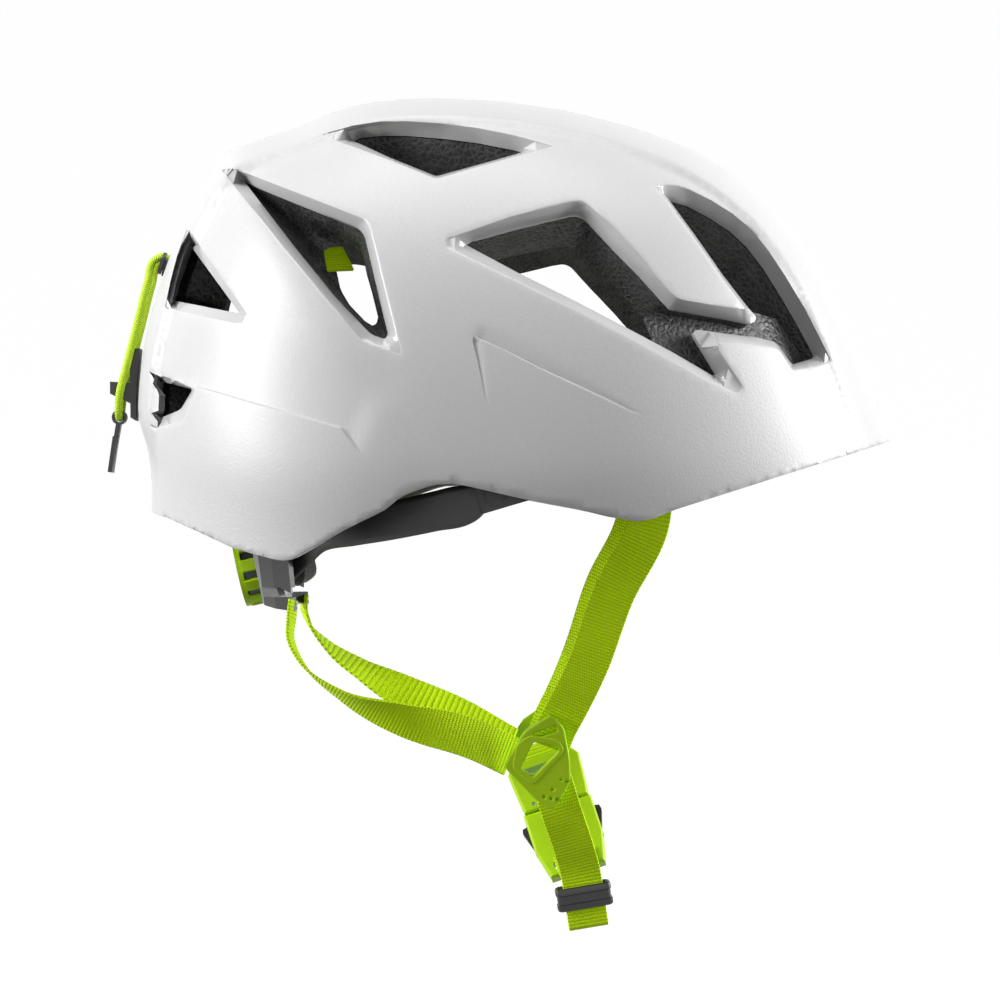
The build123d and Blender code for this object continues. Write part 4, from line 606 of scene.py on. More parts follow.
def plastic(name, dark, light, rough=(0.35, 0.5), grain=1400.0, bump=0.12, **kw):
    """Moulded plastic: fine spark grain, faint flow variation, roughness spread."""
    m = Mat(name, **kw)
    v = m.coord()
    broad = m.noise(v, 28.0, 2.0)
    col = m.ramp(broad, [(0.3, dark), (0.7, light)])
    fine = m.noise(v, grain, 2.0)
    r = m.ramp(broad, [(0.3, grey(rough[0])), (0.7, grey(rough[1]))])
    return m.out(col, r, m.bump(fine, bump, 0.00025))


def shell_mat(name, base, rough, orange):
    m = Mat(name, Coat_Weight=0.12, Coat_Roughness=0.32)
    m.b.inputs["Specular IOR Level"].default_value = 0.42
    v = m.coord()
    broad = m.noise(v, 9.0, 2.0)
    fleck = m.noise(v, 900.0, 2.0)
    lo = tuple(c * 0.965 for c in base[:3])
    col = m.ramp(fleck, [(0.32, lo), (0.62, base)])
    r = m.ramp(broad, [(0.35, grey(rough - 0.04)), (0.65, grey(rough + 0.05))])
    peel = m.noise(v, 1150.0, 2.0, 0.55)
    return m.out(col, r, m.bump(peel, orange, 0.0006))


SHELL = shell_mat("shell_satin_white", (0.52, 0.52, 0.525, 1), 0.40, 0.16)
GLOSS = shell_mat("shell_gloss_edge", (0.46, 0.46, 0.465, 1), 0.13, 0.02)


def foam_mat(name, scale=430.0):
    m = Mat(name, rough=0.62)
    v = m.coord()
    wob = m.n("ShaderNodeTexVoronoi")
    wob.feature = "F1"
    wob.inputs["Scale"].default_value = scale
    m.l(v, wob.inputs["Vector"])
    edge = m.n("ShaderNodeTexVoronoi")
    edge.feature = "DISTANCE_TO_EDGE"
    edge.inputs["Scale"].default_value = scale
    m.l(v, edge.inputs["Vector"])
    patch = m.noise(v, 95.0, 3.0, 0.6)
    bead = m.ramp(edge.outputs["Distance"], [(0.0, grey(0.060)), (0.10, grey(0.020)), (0.5, grey(0.012))])
    tone = m.n("ShaderNodeMix")
    tone.data_type = "RGBA"
    tone.blend_type = "MULTIPLY"
    tone.inputs[0].default_value = 0.75
    m.l(bead, tone.inputs[6])
    m.l(m.ramp(patch, [(0.30, grey(0.45)), (0.62, grey(1.9))]), tone.inputs[7])
    r = m.ramp(patch, [(0.3, grey(0.42)), (0.7, grey(0.66))])
    b = m.bump(edge.outputs["Distance"], 0.75, 0.0009)
    return m.out(tone.outputs[2], r, b)


FOAM = foam_mat("bead_foam_black")


def webbing_mat(name, hi, lo, rib=1.32):
    """Woven webbing on UVs in millimetres: u across, v along. Light webbing also glows faintly in its own colour, a
    painted glow that makes it brighter than lit cloth would be.
    """
    m = Mat(name, rough=0.72, Sheen_Weight=0.04, Sheen_Roughness=0.5)
    m.b.inputs["Specular IOR Level"].default_value = 0.12
    # painted glow: light webbing emits a little light in its own colour so that it reads brighter; dark webbing gets
    # none
    m.b.inputs["Emission Color"].default_value = tuple(hi[:3]) + (1,)
    m.b.inputs["Emission Strength"].default_value = 0.10 if hi[1] > 0.2 else 0.0
    c = m.n("ShaderNodeTexCoord")
    s = m.n("ShaderNodeSeparateXYZ")
    m.l(c.outputs["UV"], s.inputs[0])
    u, v = s.outputs[0], s.outputs[1]
    ribs = m.math("ABSOLUTE", m.math("SINE", m.math("MULTIPLY", v, math.pi / rib)))
    row = m.math("FLOOR", m.math("DIVIDE", v, rib))
    shift = m.math("MULTIPLY", m.math("MODULO", row, 2.0), 0.5)
    yarn = m.math("ABSOLUTE", m.math("SINE", m.math("MULTIPLY", m.math("ADD", m.math("DIVIDE", u, 0.9), shift), math.pi)))
    weave = m.math("MULTIPLY", m.math("POWER", ribs, 0.6), m.math("ADD", m.math("MULTIPLY", yarn, 0.45), 0.55))
    vec = m.coord()
    broad = m.noise(vec, 55.0, 3.0)
    fuzz = m.noise(vec, 2600.0, 2.0)
    h = m.math("ADD", weave, m.math("MULTIPLY", fuzz, 0.22))
    mix = m.math("ADD", m.math("MULTIPLY", weave, 0.75), m.math("MULTIPLY", m.math("SUBTRACT", broad, 0.5), 0.55), None, True)
    col = m.ramp(mix, [(0.0, tuple(x * 0.5 for x in lo[:3])), (0.22, lo), (0.7, hi)])
    return m.out(col, None, m.bump(h, 0.8, 0.00035))


# LIME_HI is also the colour of the webbing's painted glow
LIME_HI, LIME_LO = (0.60, 0.90, 0.0, 1.0), (0.42, 0.66, 0.0, 1.0)
WEB = webbing_mat("webbing_lime", LIME_HI, LIME_LO)
WEB_DARK = webbing_mat("webbing_black", grey(0.05), grey(0.02))
GREENP = plastic("plastic_lime", (0.42, 0.68, 0.0, 1.0), (0.50, 0.80, 0.0, 1.0), (0.42, 0.55), 1500, 0.06)
GREENP.node_tree.nodes["Principled BSDF"].inputs["Specular IOR Level"].default_value = 0.25
BLACKP = plastic("plastic_black_satin", grey(0.010), grey(0.022), (0.34, 0.50), 1300, 0.16)
GREYP = plastic("plastic_charcoal", grey(0.018), grey(0.034), (0.20, 0.32), 1300, 0.08)
STEEL = plastic("steel_brushed", grey(0.42), grey(0.56), (0.22, 0.34), 1800, 0.05, Metallic=1.0)


def cord_mat(name):
    """Braided sheath: two crossed spiral strand sets on UVs (turn, mm)."""
    m = Mat(name, rough=0.62, Sheen_Weight=0.03)
    c = m.n("ShaderNodeTexCoord")
    s = m.n("ShaderNodeSeparateXYZ")
    m.l(c.outputs["UV"], s.inputs[0])
    u, v = s.outputs[0], s.outputs[1]
    a = m.math("ABSOLUTE", m.math("SINE", m.math("MULTIPLY", m.math("ADD", m.math("MULTIPLY", u, 6.0), m.math("MULTIPLY", v, 1.1)), math.pi)))
    b = m.math("ABSOLUTE", m.math("SINE", m.math("MULTIPLY", m.math("SUBTRACT", m.math("MULTIPLY", u, 6.0), m.math("MULTIPLY", v, 1.1)), math.pi)))
    h = m.math("MULTIPLY", a, b)
    col = m.ramp(h, [(0.0, tuple(x * 0.6 for x in LIME_LO[:3])), (0.5, LIME_HI)])
    return m.out(col, None, m.bump(h, 0.5, 0.0003))


CORD = cord_mat("cord_lime")


def pad_mat(name):
    """Knitted pad cover: small honeycomb cells with a soft nap."""
    m = Mat(name, rough=0.85, Sheen_Weight=0.35, Sheen_Roughness=0.4)
    v = m.coord()
    cell = m.n("ShaderNodeTexVoronoi")
    cell.feature = "DISTANCE_TO_EDGE"
    cell.inputs["Scale"].default_value = 520.0
    cell.inputs["Randomness"].default_value = 0.25
    m.l(v, cell.inputs["Vector"])
    nap = m.noise(v, 1800.0, 3.0)
    col = m.ramp(cell.outputs["Distance"], [(0.0, grey(0.008)), (0.16, grey(0.026)), (0.6, grey(0.036))])
    h = m.math("ADD", cell.outputs["Distance"], m.math("MULTIPLY", nap, 0.3))
    return m.out(col, None, m.bump(h, 0.6, 0.0006))


PAD = pad_mat("pad_knit_black")


# ---------------------------------------------------------------- creases of the side
def crease(pts_mm):
    return dom(np.array([p[0] for p in pts_mm]), np.array([p[1] for p in pts_mm]))


CR1, CR2, LA, LV = [crease(CREASES[k]) for k in ("rear_a", "rear_b", "side_a", "side_v")]


def relief(uv):
    """Inward depth in mm of the pressed creases at domain points."""
    d = np.zeros(len(uv))
    a, s, side = seg_near(uv, CR1)
    b, s2, side2 = seg_near(uv, CR2)
    # rear panel: below the long line and behind the short one
    dist = np.minimum(a, b)
    sa = np.where(a <= b, side, side2) * SIGN_REAR
    fade = 1 - ss((dist - 6) / 26)
    end = np.where(a <= b, 1.0, 1 - ss(s2))
    start = np.where(a <= b, 1.0, 1.0)
    d += 0.95 * ss(sa * dist / 1.1 + 0.5) * fade * end * start * (sa * dist > -0.7)
    # side recess: a facet under the long line and a notch in front of the short one
    a, s, side = seg_near(uv, LA)
    w = 5.0 * (1 - s) + 0.5
    k = side * SIGN_A * a
    on = (s > 0) & (s < 1)
    d = np.maximum(d, np.where(on, 0.80 * (1 - s) ** 0.5 * ss(k / 0.5 + 0.5) * np.clip(1 - k / w, 0, 1), 0))
    a, s, side = seg_near(uv, LV)
    w = 2.6 * (1 - s) + 0.4
    k = side * SIGN_V * a
    on = (s > 0) & (s < 1)
    d = np.maximum(d, np.where(on, 1.0 * (1 - s) ** 0.6 * ss(k / 0.5 + 0.5) * np.clip(1 - k / w, 0, 1), 0))
    return d


def rows_along(line, offs, step):
    """Points on rows beside a polyline, to carry a sharp crease."""
    out = []
    for p, q in zip(line[:-1], line[1:]):
        n = max(1, int(np.linalg.norm(q - p) / step))
        nrm = np.array([-(q - p)[1], (q - p)[0]]) / np.linalg.norm(q - p)
        for i in range(n):
            for o in offs:
                out.append(p + (q - p) * (i + 0.5) / n + nrm * o)
    return np.array(out)


# ---------------------------------------------------------------- sheet with holes
def cdt(points, loops, keep_loops, drop_loops):
    """Constrained triangulation; loops are closed index lists into points."""
    edges = []
    for lp in loops:
        edges += [(lp[i], lp[(i + 1) % len(lp)]) for i in range(len(lp))]
    vo, eo, fo, ov, oe, of = delaunay_2d_cdt([Vector((float(p[0]), float(p[1]))) for p in points], edges, [], 0, 1e-5)
    src = [o[0] if o else -1 for o in ov]
    pv = np.array([(v.x, v.y) for v in vo])
    tri = np.array([f for f in fo if len(f) == 3])
    cen = pv[tri].mean(1)
    ok = np.ones(len(tri), bool)
    for poly in keep_loops:
        ok &= inside(cen, poly)
    for poly in drop_loops:
        ok &= ~inside(cen, poly)
    tri = tri[ok]
    e1, e2 = pv[tri[:, 1]] - pv[tri[:, 0]], pv[tri[:, 2]] - pv[tri[:, 0]]
    turn = e1[:, 0] * e2[:, 1] - e1[:, 1] * e2[:, 0]
    tri = np.where((turn < 0)[:, None], tri[:, ::-1], tri)
    return pv, src, tri[np.abs(turn) > 1e-7]


RIM = dom(np.array([p[0] for p in RIM_AB]), np.array([p[1] for p in RIM_AB]))
sp_al = np.arange(RIM_AB[-1][0], RIM_AB[0][0], 1.15)
sp_al = np.linspace(RIM_AB[-1][0], RIM_AB[0][0], len(sp_al))[1:-1]
SPINE = dom(sp_al, np.full(len(sp_al), 90.0))


def loop_ab(pairs):
    return dom(np.array([p[0] for p in pairs]), np.array([p[1] for p in pairs]))


def build_shell():
    pts, kind, data = [], [], []   # kind: 0 surface, 1 hole ring, 2 blend ring, 3 rim

    def put(uv, k, extra=None):
        s = len(pts)
        for i, p in enumerate(uv):
            pts.append(p)
            kind.append(k)
            data.append(None if extra is None else extra[i])
        return list(range(s, len(pts)))

    rim_i = put(RIM, 3)
    spine_i = put(SPINE, 4)
    outer_poly = np.concatenate([RIM, SPINE])
    loops = [rim_i + spine_i]
    drop, hole_rings, dense = [], [], [RIM]
    # a row just above the rim, for its rounded edge
    rim_in = offset_loop(outer_poly, -0.9)[:len(RIM)]
    put(rim_in[2:-2], 0)
    for name, ring in RINGS.items():
        o = loop_ab(ring["o"])
        h = loop_ab([(p[0], p[1]) for p in ring["h"]])
        hp = np.array([(p[2], p[3]) for p in ring["h"]])
        d = ring["d"]
        h3 = deep(hp[:, 0], hp[:, 1], -d, False)
        hin = deep(hp[:, 0], hp[:, 1], -(d + 1.6), False)
        oi = put(o, 5)
        hi = put(h, 1, list(zip(h3, hin)))
        loops += [oi, hi]
        drop.append(h)
        hole_rings.append(hi)
        op = offset_loop(o, 0.75)
        put(op, 0)
        # ring a little way down the wall: lerp towards the nearest hole point
        o3 = deep(*[np.array([p[j] for p in ring["o"]]) for j in (0, 1)], 0.0)
        near_i = [int(np.argmin(((h - q) ** 2).sum(1))) for q in o]
        wlen = np.array([np.linalg.norm(o3[i] - h3[j]) for i, j in enumerate(near_i)])
        t = np.clip(0.55 / np.maximum(wlen, 0.2), 0, 0.4)
        om = np.array([o[i] + (h[j] - o[i]) * t[i] for i, j in enumerate(near_i)])
        m3 = np.array([o3[i] + (h3[j] - o3[i]) * t[i] for i, j in enumerate(near_i)])
        put(om, 2, [(m3[i], hin[near_i[i]]) for i in range(len(o))])
        dense += [o, h, op, om]
    # rows that carry the step beside the centre band
    band_rows = []
    for k in (3.2, 1.6, 0.8, 0, -0.8, -1.6, -3.2):
        al = np.arange(12, 176, 1.2)
        lat = np.interp(al, XB_A, XB) + k
        be = np.degrees(np.arcsin((1 - (lat / W0) ** 2) ** (1 / NEXP)))
        band_rows.append(dom(al, be))
    cre = [rows_along(c, (-0.9, -0.35, 0.0, 0.35, 0.9, 1.8), 1.6) for c in (CR1, CR2)]
    cre += [rows_along(c, (-1.4, -0.7, -0.3, 0.0, 0.3, 0.7, 1.4, 2.6), 1.3) for c in (LA, LV)]
    rings_all = np.concatenate(dense)
    extra = np.concatenate(cre)

    def admit(p, gap, others):
        k = inside(p, outer_poly) & (near(p, [outer_poly]) > gap)
        k &= near(p, others) > gap
        for h in drop:
            k &= ~inside(p, h)
        for name, ring in RINGS.items():
            k &= ~inside(p, loop_ab(ring["o"]))
        return p[k]

    extra = admit(extra, 0.8, [rings_all])
    # thin out crease points that fall on each other
    keep = []
    for p in extra:
        if all((p[0] - q[0]) ** 2 + (p[1] - q[1]) ** 2 > 0.04 for q in keep[-40:]):
            keep.append(p)
    extra = np.array(keep)
    rows = admit(np.concatenate(band_rows), 1.0, [rings_all, extra])
    hexes = admit(hexgrid((-265, -70), (265, 265), 3.0), 1.25, [rings_all, extra, rows])
    put(extra, 0)
    put(rows, 0)
    put(hexes, 0)
    uv = np.array(pts)
    pv, src, tri = cdt(uv, loops, [outer_poly], drop)
    n = len(pv)
    al, be = undom(pv)
    kd = np.array([kind[s] if s >= 0 else 0 for s in src])
    spine = kd == 4
    be = np.where(spine, 90.0, be)
    rel = relief(pv)
    rel = np.where(np.isin(kd, (1, 2, 5)), 0, rel)
    sink = np.where(kd == 5, 0.14, 0.0) + np.where(kd == 3, 0.55, 0.0)
    out = deep(al, be, -(sink + rel))
    inn = deep(al, be, -(2.4 + rel) + np.where(kd == 3, 0.5, 0.0))
    for i, s in enumerate(src):
        if s >= 0 and data[s] is not None:
            out[i], inn[i] = data[s][0], data[s][1]
    # a hole ring's inner copy sits under the lip, and the blend ring's halfway to it
    ends = [src.index(rim_i[0]), src.index(rim_i[-1])]
    flat = np.zeros(n, bool)
    flat[spine] = True
    flat[ends] = True
    out[flat, 0] = 0
    inn[flat, 0] = 0
    # orientation: outer faces look away from the pole axis
    a, b, c = (out[tri[:, k]] for k in range(3))
    nr = np.cross(b - a, c - a)
    if np.sum(nr * (a - np.array([0, FC, ZC]))) < 0:
        tri = tri[:, ::-1]
    wall = np.isin(kd[tri], (1, 2, 5)).all(1)
    faces = [tuple(t) for t in tri]
    fmat = [1 if w else 0 for w in wall]
    faces += [tuple(x + n for x in t[::-1]) for t in tri]
    fmat += [1] * len(tri)
    # boundary edges become the lips of the holes and the rim
    cnt = {}
    for t in tri:
        for i in range(3):
            e = (int(t[i]), int(t[(i + 1) % 3]))
            cnt[e] = cnt.get(e, 0) + 1
    for (i, j) in list(cnt):
        if (j, i) in cnt:
            continue
        if flat[i] and flat[j]:
            continue
        faces.append((j, i, i + n, j + n))
        fmat.append(1)
    return np.concatenate([out, inn]), faces, fmat, np.concatenate([flat, flat])


def mirror_join(v, faces, fmat, flat):
    """Adds the mirror half and welds it along the centre plane; near side is -X."""
    n = len(v)
    idx = np.where(flat, np.arange(n), -1)
    new = np.arange(n) + n
    add = np.where(flat)[0]
    keep = np.where(~flat)[0]
    mp = np.zeros(n, int)
    mp[add] = add
    mp[keep] = n + np.arange(len(keep))
    mv = v[keep].copy()
    mv[:, 0] *= -1
    allv = np.concatenate([v, mv])
    f2 = [tuple(int(mp[i]) for i in f[::-1]) for f in faces]
    return allv, list(faces) + f2, list(fmat) + list(fmat)


verts, faces, fmat, flat = build_shell()
verts, faces, fmat = mirror_join(verts, faces, fmat, flat)
shell = new_mesh("shell_visual", to_world(verts), [f[::-1] for f in faces], [SHELL, GLOSS], fmat, sharp=44)
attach(shell, "helmet")
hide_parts("outer_shell")


# ---------------------------------------------------------------- bead foam liner
# Tunnels that narrow inward: corners of the opening, then the smaller inner opening and its corners.
WINDOWS = {"rear_upper": ([(120.9, 73.4), (107.8, 47.3), (109.6, 30.0)],
                          [(114.6, 53.3), (113.52, 53.74), (111.6, 52.5), (109.81, 50.85), (109.4, 48.0), (109.81, 45.08),
                           (110.0, 40.5), (110.42, 36.21), (111.1, 35.3), (111.96, 35.09), (113.01, 36.4), (114.4, 40.0),
                           (115.32, 43.94), (115.6, 48.0)], [0, 3, 7])}


def window(h, corners, loop, ids):
    """For each point of loop h, its partner on a smaller loop, matched corner to corner."""
    hc = [int(np.argmin(((h - dom(*[np.array([v]) for v in c])) ** 2).sum(1))) for c in corners]
    q = loop_ab(loop)
    out = np.zeros_like(h)
    n, m = len(h), len(q)
    step = 1 if (hc[1] - hc[0]) % n < (hc[2] - hc[0]) % n else -1
    for k in range(3):
        a, b = hc[k], hc[(k + 1) % 3]
        ha = [(a + step * j) % n for j in range(((b - a) * step) % n + 1)]
        qa = [(ids[k] + j) % m for j in range((ids[(k + 1) % 3] - ids[k]) % m + 1)]
        hs = np.concatenate([[0], np.cumsum(np.linalg.norm(np.diff(h[ha], axis=0), axis=1))])
        qs = np.concatenate([[0], np.cumsum(np.linalg.norm(np.diff(q[qa], axis=0), axis=1))])
        for i, t in zip(ha, hs / hs[-1]):
            out[i] = [np.interp(t, qs / qs[-1], q[qa][:, c]) for c in (0, 1)]
    return out


def build_foam():
    outer_poly = np.concatenate([RIM, SPINE])
    al, be = undom(RIM)
    fwd = surf(al, np.radians(be))[:, 1]
    inset = 4.2 + 15 * ss((fwd - 112) / 28)
    ln = offset_loop(outer_poly, -1.0)[:len(RIM)] - RIM
    ln /= np.maximum(np.linalg.norm(ln, axis=1, keepdims=True), 1e-9)
    rim = RIM + ln * inset[:, None]
    # keep the ends on the spine circle
    for e, s in ((0, -1), (-1, 1)):
        a, _ = undom(RIM[[e]])
        rim[e] = dom(a + s * inset[e] / (K * 90) * 57.3, np.array([90.0]))[0]
    a0, _ = undom(rim[[0]])
    a1, _ = undom(rim[[-1]])
    m = 150
    sal = np.linspace(a1[0], a0[0], m)[1:-1]
    spine = dom(sal, np.full(len(sal), 90.0))
    poly = np.concatenate([rim, spine])
    pts = [p for p in rim] + [p for p in spine]
    loops = [list(range(len(pts)))]
    drop, rings, partner = [], [], {}
    for name, ring in RINGS.items():
        h = loop_ab([(p[2], p[3]) for p in ring["h"]])
        h = offset_loop(h, FOAM_GROW[name])
        prev, nxt = np.roll(h, 1, 0) - h, np.roll(h, -1, 0) - h
        bend = np.sum(prev * nxt, 1) / np.maximum(np.linalg.norm(prev, axis=1) * np.linalg.norm(nxt, axis=1), 1e-9)
        h = h[(np.arange(len(h)) % 2 == 0) | (bend > -0.96)]
        s = len(pts)
        if name in WINDOWS:
            for j, p in enumerate(window(h, *WINDOWS[name])):
                partner[s + j] = p
        pts += [p for p in h]
        loops.append(list(range(s, len(pts))))
        for d in (1.2, 3.0):
            g = offset_loop(h, d)
            pts += [p for p in g[::2]]
            rings.append(g)
        drop.append(h)
        rings.append(h)
    allr = np.concatenate(rings)
    hx = hexgrid((-265, -70), (265, 265), 4.2)
    k = inside(hx, poly) & (near(hx, [poly]) > 1.8) & (near(hx, [allr]) > 1.6)
    for h in drop:
        k &= ~inside(hx, h)
    pts += [p for p in hx[k]]
    uv = np.array(pts)
    pv, src, tri = cdt(uv, loops, [poly], drop)
    n = len(pv)
    al, be = undom(pv)
    src = np.array(src)
    flat = ((src >= len(rim)) & (src < len(rim) + len(spine))) | (src == 0) | (src == len(rim) - 1)
    be = np.where(flat, 90.0, be)
    dv = near(pv, drop)
    d_rim = near(pv, [rim])
    top = 3.0 + 3.6 * (1 - ss((dv - 3.0) / 7))
    round_r = 2.4 * (1 - ss(d_rim / 5.0)) ** 2
    hole = np.zeros(n, bool)
    hole[(src >= len(rim) + len(spine)) & (dv < 1e-3)] = True
    layers = []
    depths = [0.0, 0.12, 0.36, 0.64, 0.88, 1.0]
    t0 = top + round_r
    t1 = FOAM_T - round_r * 1.3
    out = deep(al, be, -t0, False)
    inn = deep(al, be, -t1, False)
    slant = np.zeros(n, bool)
    for i in range(n):
        if int(src[i]) in partner:
            pa, pb = undom(np.array([partner[int(src[i])]]))
            inn[i] = deep(pa, pb, -FOAM_T, False)[0]
            slant[i] = True
    out[flat, 0] = 0
    inn[flat, 0] = 0
    a, b, c = (out[tri[:, k]] for k in range(3))
    nr = np.cross(b - a, c - a)
    if np.sum(nr * (a - np.array([0, FC, ZC]))) < 0:
        tri = tri[:, ::-1]
    faces = [tuple(t) for t in tri] + [tuple(x + n for x in t[::-1]) for t in tri]
    cnt = set()
    for t in tri:
        for i in range(3):
            cnt.add((int(t[i]), int(t[(i + 1) % 3])))
    border = [(i, j) for (i, j) in cnt if (j, i) not in cnt and not (flat[i] and flat[j])]
    verts = [out, inn]
    base = 2 * n
    levels = {}
    steps = (0.1, 0.3, 0.5, 0.7, 0.9)
    bi = sorted({i for e in border for i in e})
    for s in steps:
        t = t0[bi] + (t1[bi] - t0[bi]) * s
        bulge = np.where(hole[bi], 0.0, 1.0)
        p = deep(al[bi], be[bi], -t, False)
        # the rim is rounded: its middle levels stand out below
        down = np.array([0.0, 0.0, -1.9 * math.sin(math.pi * s) ** 0.6])
        p = p + bulge[:, None] * down
        lean = slant[bi]
        p[lean] = out[bi][lean] * (1 - s) + inn[bi][lean] * s
        p[flat[bi], 0] = 0
        verts.append(p)
        levels[s] = {i: base + k for k, i in enumerate(bi)}
        base += len(bi)
    chain = [lambda i: i] + [(lambda i, s=s: levels[s][i]) for s in steps] + [lambda i: i + n]
    for (i, j) in border:
        for lo, hi in zip(chain[:-1], chain[1:]):
            faces.append((lo(j), lo(i), hi(i), hi(j)))
    flat_all = np.concatenate([flat, flat] + [flat[bi]] * len(steps))
    return np.concatenate(verts), faces, [0] * len(faces), flat_all


# closed web of foam across the narrow slot between the two front openings
SLOT_WEB = [(54.22, 40.08), (52.44, 46.54), (46.96, 51.59), (37.75, 64.21), (29.89, 68.2), (30.71, 49.28), (40.6, 41.4), (48.66, 37.92)]


def foam_web(loop, top, bottom):
    q = loop_ab(loop)
    n = len(q)
    c = q.mean(0)
    grid = [c] + [c + (p - c) * 0.5 for p in q] + [p for p in q]
    al, be = undom(np.array(grid))
    v = np.concatenate([deep(al, be, -top, False), deep(al, be, -bottom, False)])
    m = 2 * n + 1
    f = []
    for i in range(n):
        j = (i + 1) % n
        f += [(0, 1 + i, 1 + j), (1 + i, 1 + n + i, 1 + n + j, 1 + j)]
        f += [(m, m + 1 + j, m + 1 + i), (m + 1 + i, m + 1 + j, m + 1 + n + j, m + 1 + n + i)]
        f.append((1 + n + i, m + 1 + n + i, m + 1 + n + j, 1 + n + j))
    a, b, d = v[0], v[1], v[2]
    if np.dot(np.cross(b - a, d - a), a - np.array([0, FC, ZC])) < 0:
        f = [x[::-1] for x in f]
    return v, f


verts, faces, fmat, flat = build_foam()
wv, wf = foam_web(SLOT_WEB, 10.0, 21.4)
faces = list(faces) + [tuple(i + len(verts) for i in x) for x in wf]
verts = np.concatenate([verts, wv])
fmat = [0] * len(faces)
flat = np.concatenate([flat, np.zeros(len(wv), bool)])
verts, faces, fmat = mirror_join(verts, faces, fmat, flat)
foam = new_mesh("foam_visual", to_world(verts), [f[::-1] for f in faces], [FOAM], fmat, sharp=50)
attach(foam, "helmet")
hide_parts("foam_liner")


# ---------------------------------------------------------------- strips, cords and plates
def vec(*a):
    return np.array(a, float)


def unit(v):
    v = np.asarray(v, float)
    return v / np.maximum(np.linalg.norm(v, axis=-1, keepdims=True), 1e-9)


def resample(path, step):
    """Catmull-Rom through (point, width direction[, width]) rows, evenly stepped."""
    P = np.array([p[0] for p in path], float)
    W = np.array([unit(p[1]) for p in path])
    S = np.array([p[2] if len(p) > 2 else 1.0 for p in path], float)
    A = np.concatenate([P, W, S[:, None]], 1)
    ext = np.concatenate([[2 * A[0] - A[1]], A, [2 * A[-1] - A[-2]]])
    out = []
    for i in range(len(P) - 1):
        p0, p1, p2, p3 = ext[i:i + 4]
        n = max(2, int(np.linalg.norm(p2[:3] - p1[:3]) / 0.4))
        t = (np.arange(n) / n)[:, None]
        # tangents scaled by the neighbouring lengths, so uneven points don't overshoot
        d0, d1, d2 = (max(np.linalg.norm((b - a)[:3]), 1e-3) for a, b in ((p0, p1), (p1, p2), (p2, p3)))
        m1 = d1 * ((p1 - p0) / d0 * d1 + (p2 - p1) / d1 * d0) / (d0 + d1)
        m2 = d1 * ((p2 - p1) / d1 * d2 + (p3 - p2) / d2 * d1) / (d1 + d2)
        t2, t3 = t * t, t * t * t
        out.append((2 * t3 - 3 * t2 + 1) * p1 + (t3 - 2 * t2 + t) * m1 + (-2 * t3 + 3 * t2) * p2 + (t3 - t2) * m2)
    out.append(A[-1:])
    q = np.concatenate(out)
    run = np.concatenate([[0], np.cumsum(np.linalg.norm(np.diff(q[:, :3], axis=0), axis=1))])
    n = max(4, int(run[-1] / step) + 1)
    s = np.linspace(0, run[-1], n)
    r = np.stack([np.interp(s, run, q[:, k]) for k in range(7)], 1)
    tan = unit(np.gradient(r[:, :3], axis=0))
    across = r[:, 3:6] - tan * np.sum(r[:, 3:6] * tan, 1, keepdims=True)
    across = unit(across)
    return r[:, :3], across, np.cross(across, tan), s, r[:, 6]


def set_uv(me, uv_of_vert_loops):
    lay = me.uv_layers.new(name="UVMap")
    lay.data.foreach_set("uv", np.asarray(uv_of_vert_loops, np.float32).ravel())


def swept(name, ctr, ax, nr, s, prof, mat, uvu, closed_ends=True, sharp=60):
    """Sweeps a closed section along stations; prof(i) gives (across, out) rows in mm."""
    n = len(ctr)
    first = prof(0)
    m = len(first)
    verts = []
    for i in range(n):
        for a, b in (first if i == 0 else prof(i)):
            verts.append(ctr[i] + ax[i] * a + nr[i] * b)
    faces, uv = [], []
    for i in range(n - 1):
        for k in range(m):
            k2 = (k + 1) % m
            faces.append((i * m + k, i * m + k2, (i + 1) * m + k2, (i + 1) * m + k))
            u0, u1 = uvu[k], uvu[k + 1]
            uv += [(u0, s[i]), (u1, s[i]), (u1, s[i + 1]), (u0, s[i + 1])]
    if closed_ends:
        for base, rev in ((0, True), ((n - 1) * m, False)):
            ids = list(range(base, base + m))
            si = s[0] if rev else s[-1]
            order = ids[::-1] if rev else ids
            faces.append(tuple(order))
            uv += [(uvu[j - base], si) for j in order]
    me = bpy.data.meshes.new(name)
    me.from_pydata([tuple(v * MM) for v in verts], [], faces)
    set_uv(me, uv)
    me.materials.append(mat)
    me.polygons.foreach_set("use_smooth", np.ones(len(me.polygons), bool))
    me.update()
    me.set_sharp_from_angle(angle=math.radians(sharp))
    ob = bpy.data.objects.new(name, me)
    bpy.context.scene.collection.objects.link(ob)
    return ob


def ribbon(name, path, width, thick, mat, rib=0.0, pitch=2.4, step=0.45, cup=0.0, edge=0.22):
    """Flat webbing with rounded selvedges, and raised cross ribs when rib > 0."""
    c, a, n, s, w = resample(path, step)
    k = 9
    us = np.linspace(-1, 1, k)

    def prof(i):
        hw = width * w[i] / 2
        r = rib * abs(math.sin(math.pi * s[i] / pitch)) if rib else 0.0
        sc = rib * 0.8 * (abs(math.sin(math.pi * s[i] / pitch)) - 0.5) if rib else 0.0
        hw += sc
        top = [(u * (hw - edge), thick / 2 + r * (1 - abs(u) ** 6) + cup * (1 - u * u)) for u in us]
        bot = [(u * (hw - edge), -thick / 2 - r * 0.5 + cup * (1 - u * u)) for u in us[::-1]]
        return [(-hw, 0.0)] + top + [(hw, 0.0)] + bot

    uu = [-width / 2] + [u * (width / 2 - edge) for u in us] + [width / 2] + [u * (width / 2 - edge) for u in us[::-1]] + [-width / 2]
    return swept(name, c, a, n, s, prof, mat, uu)


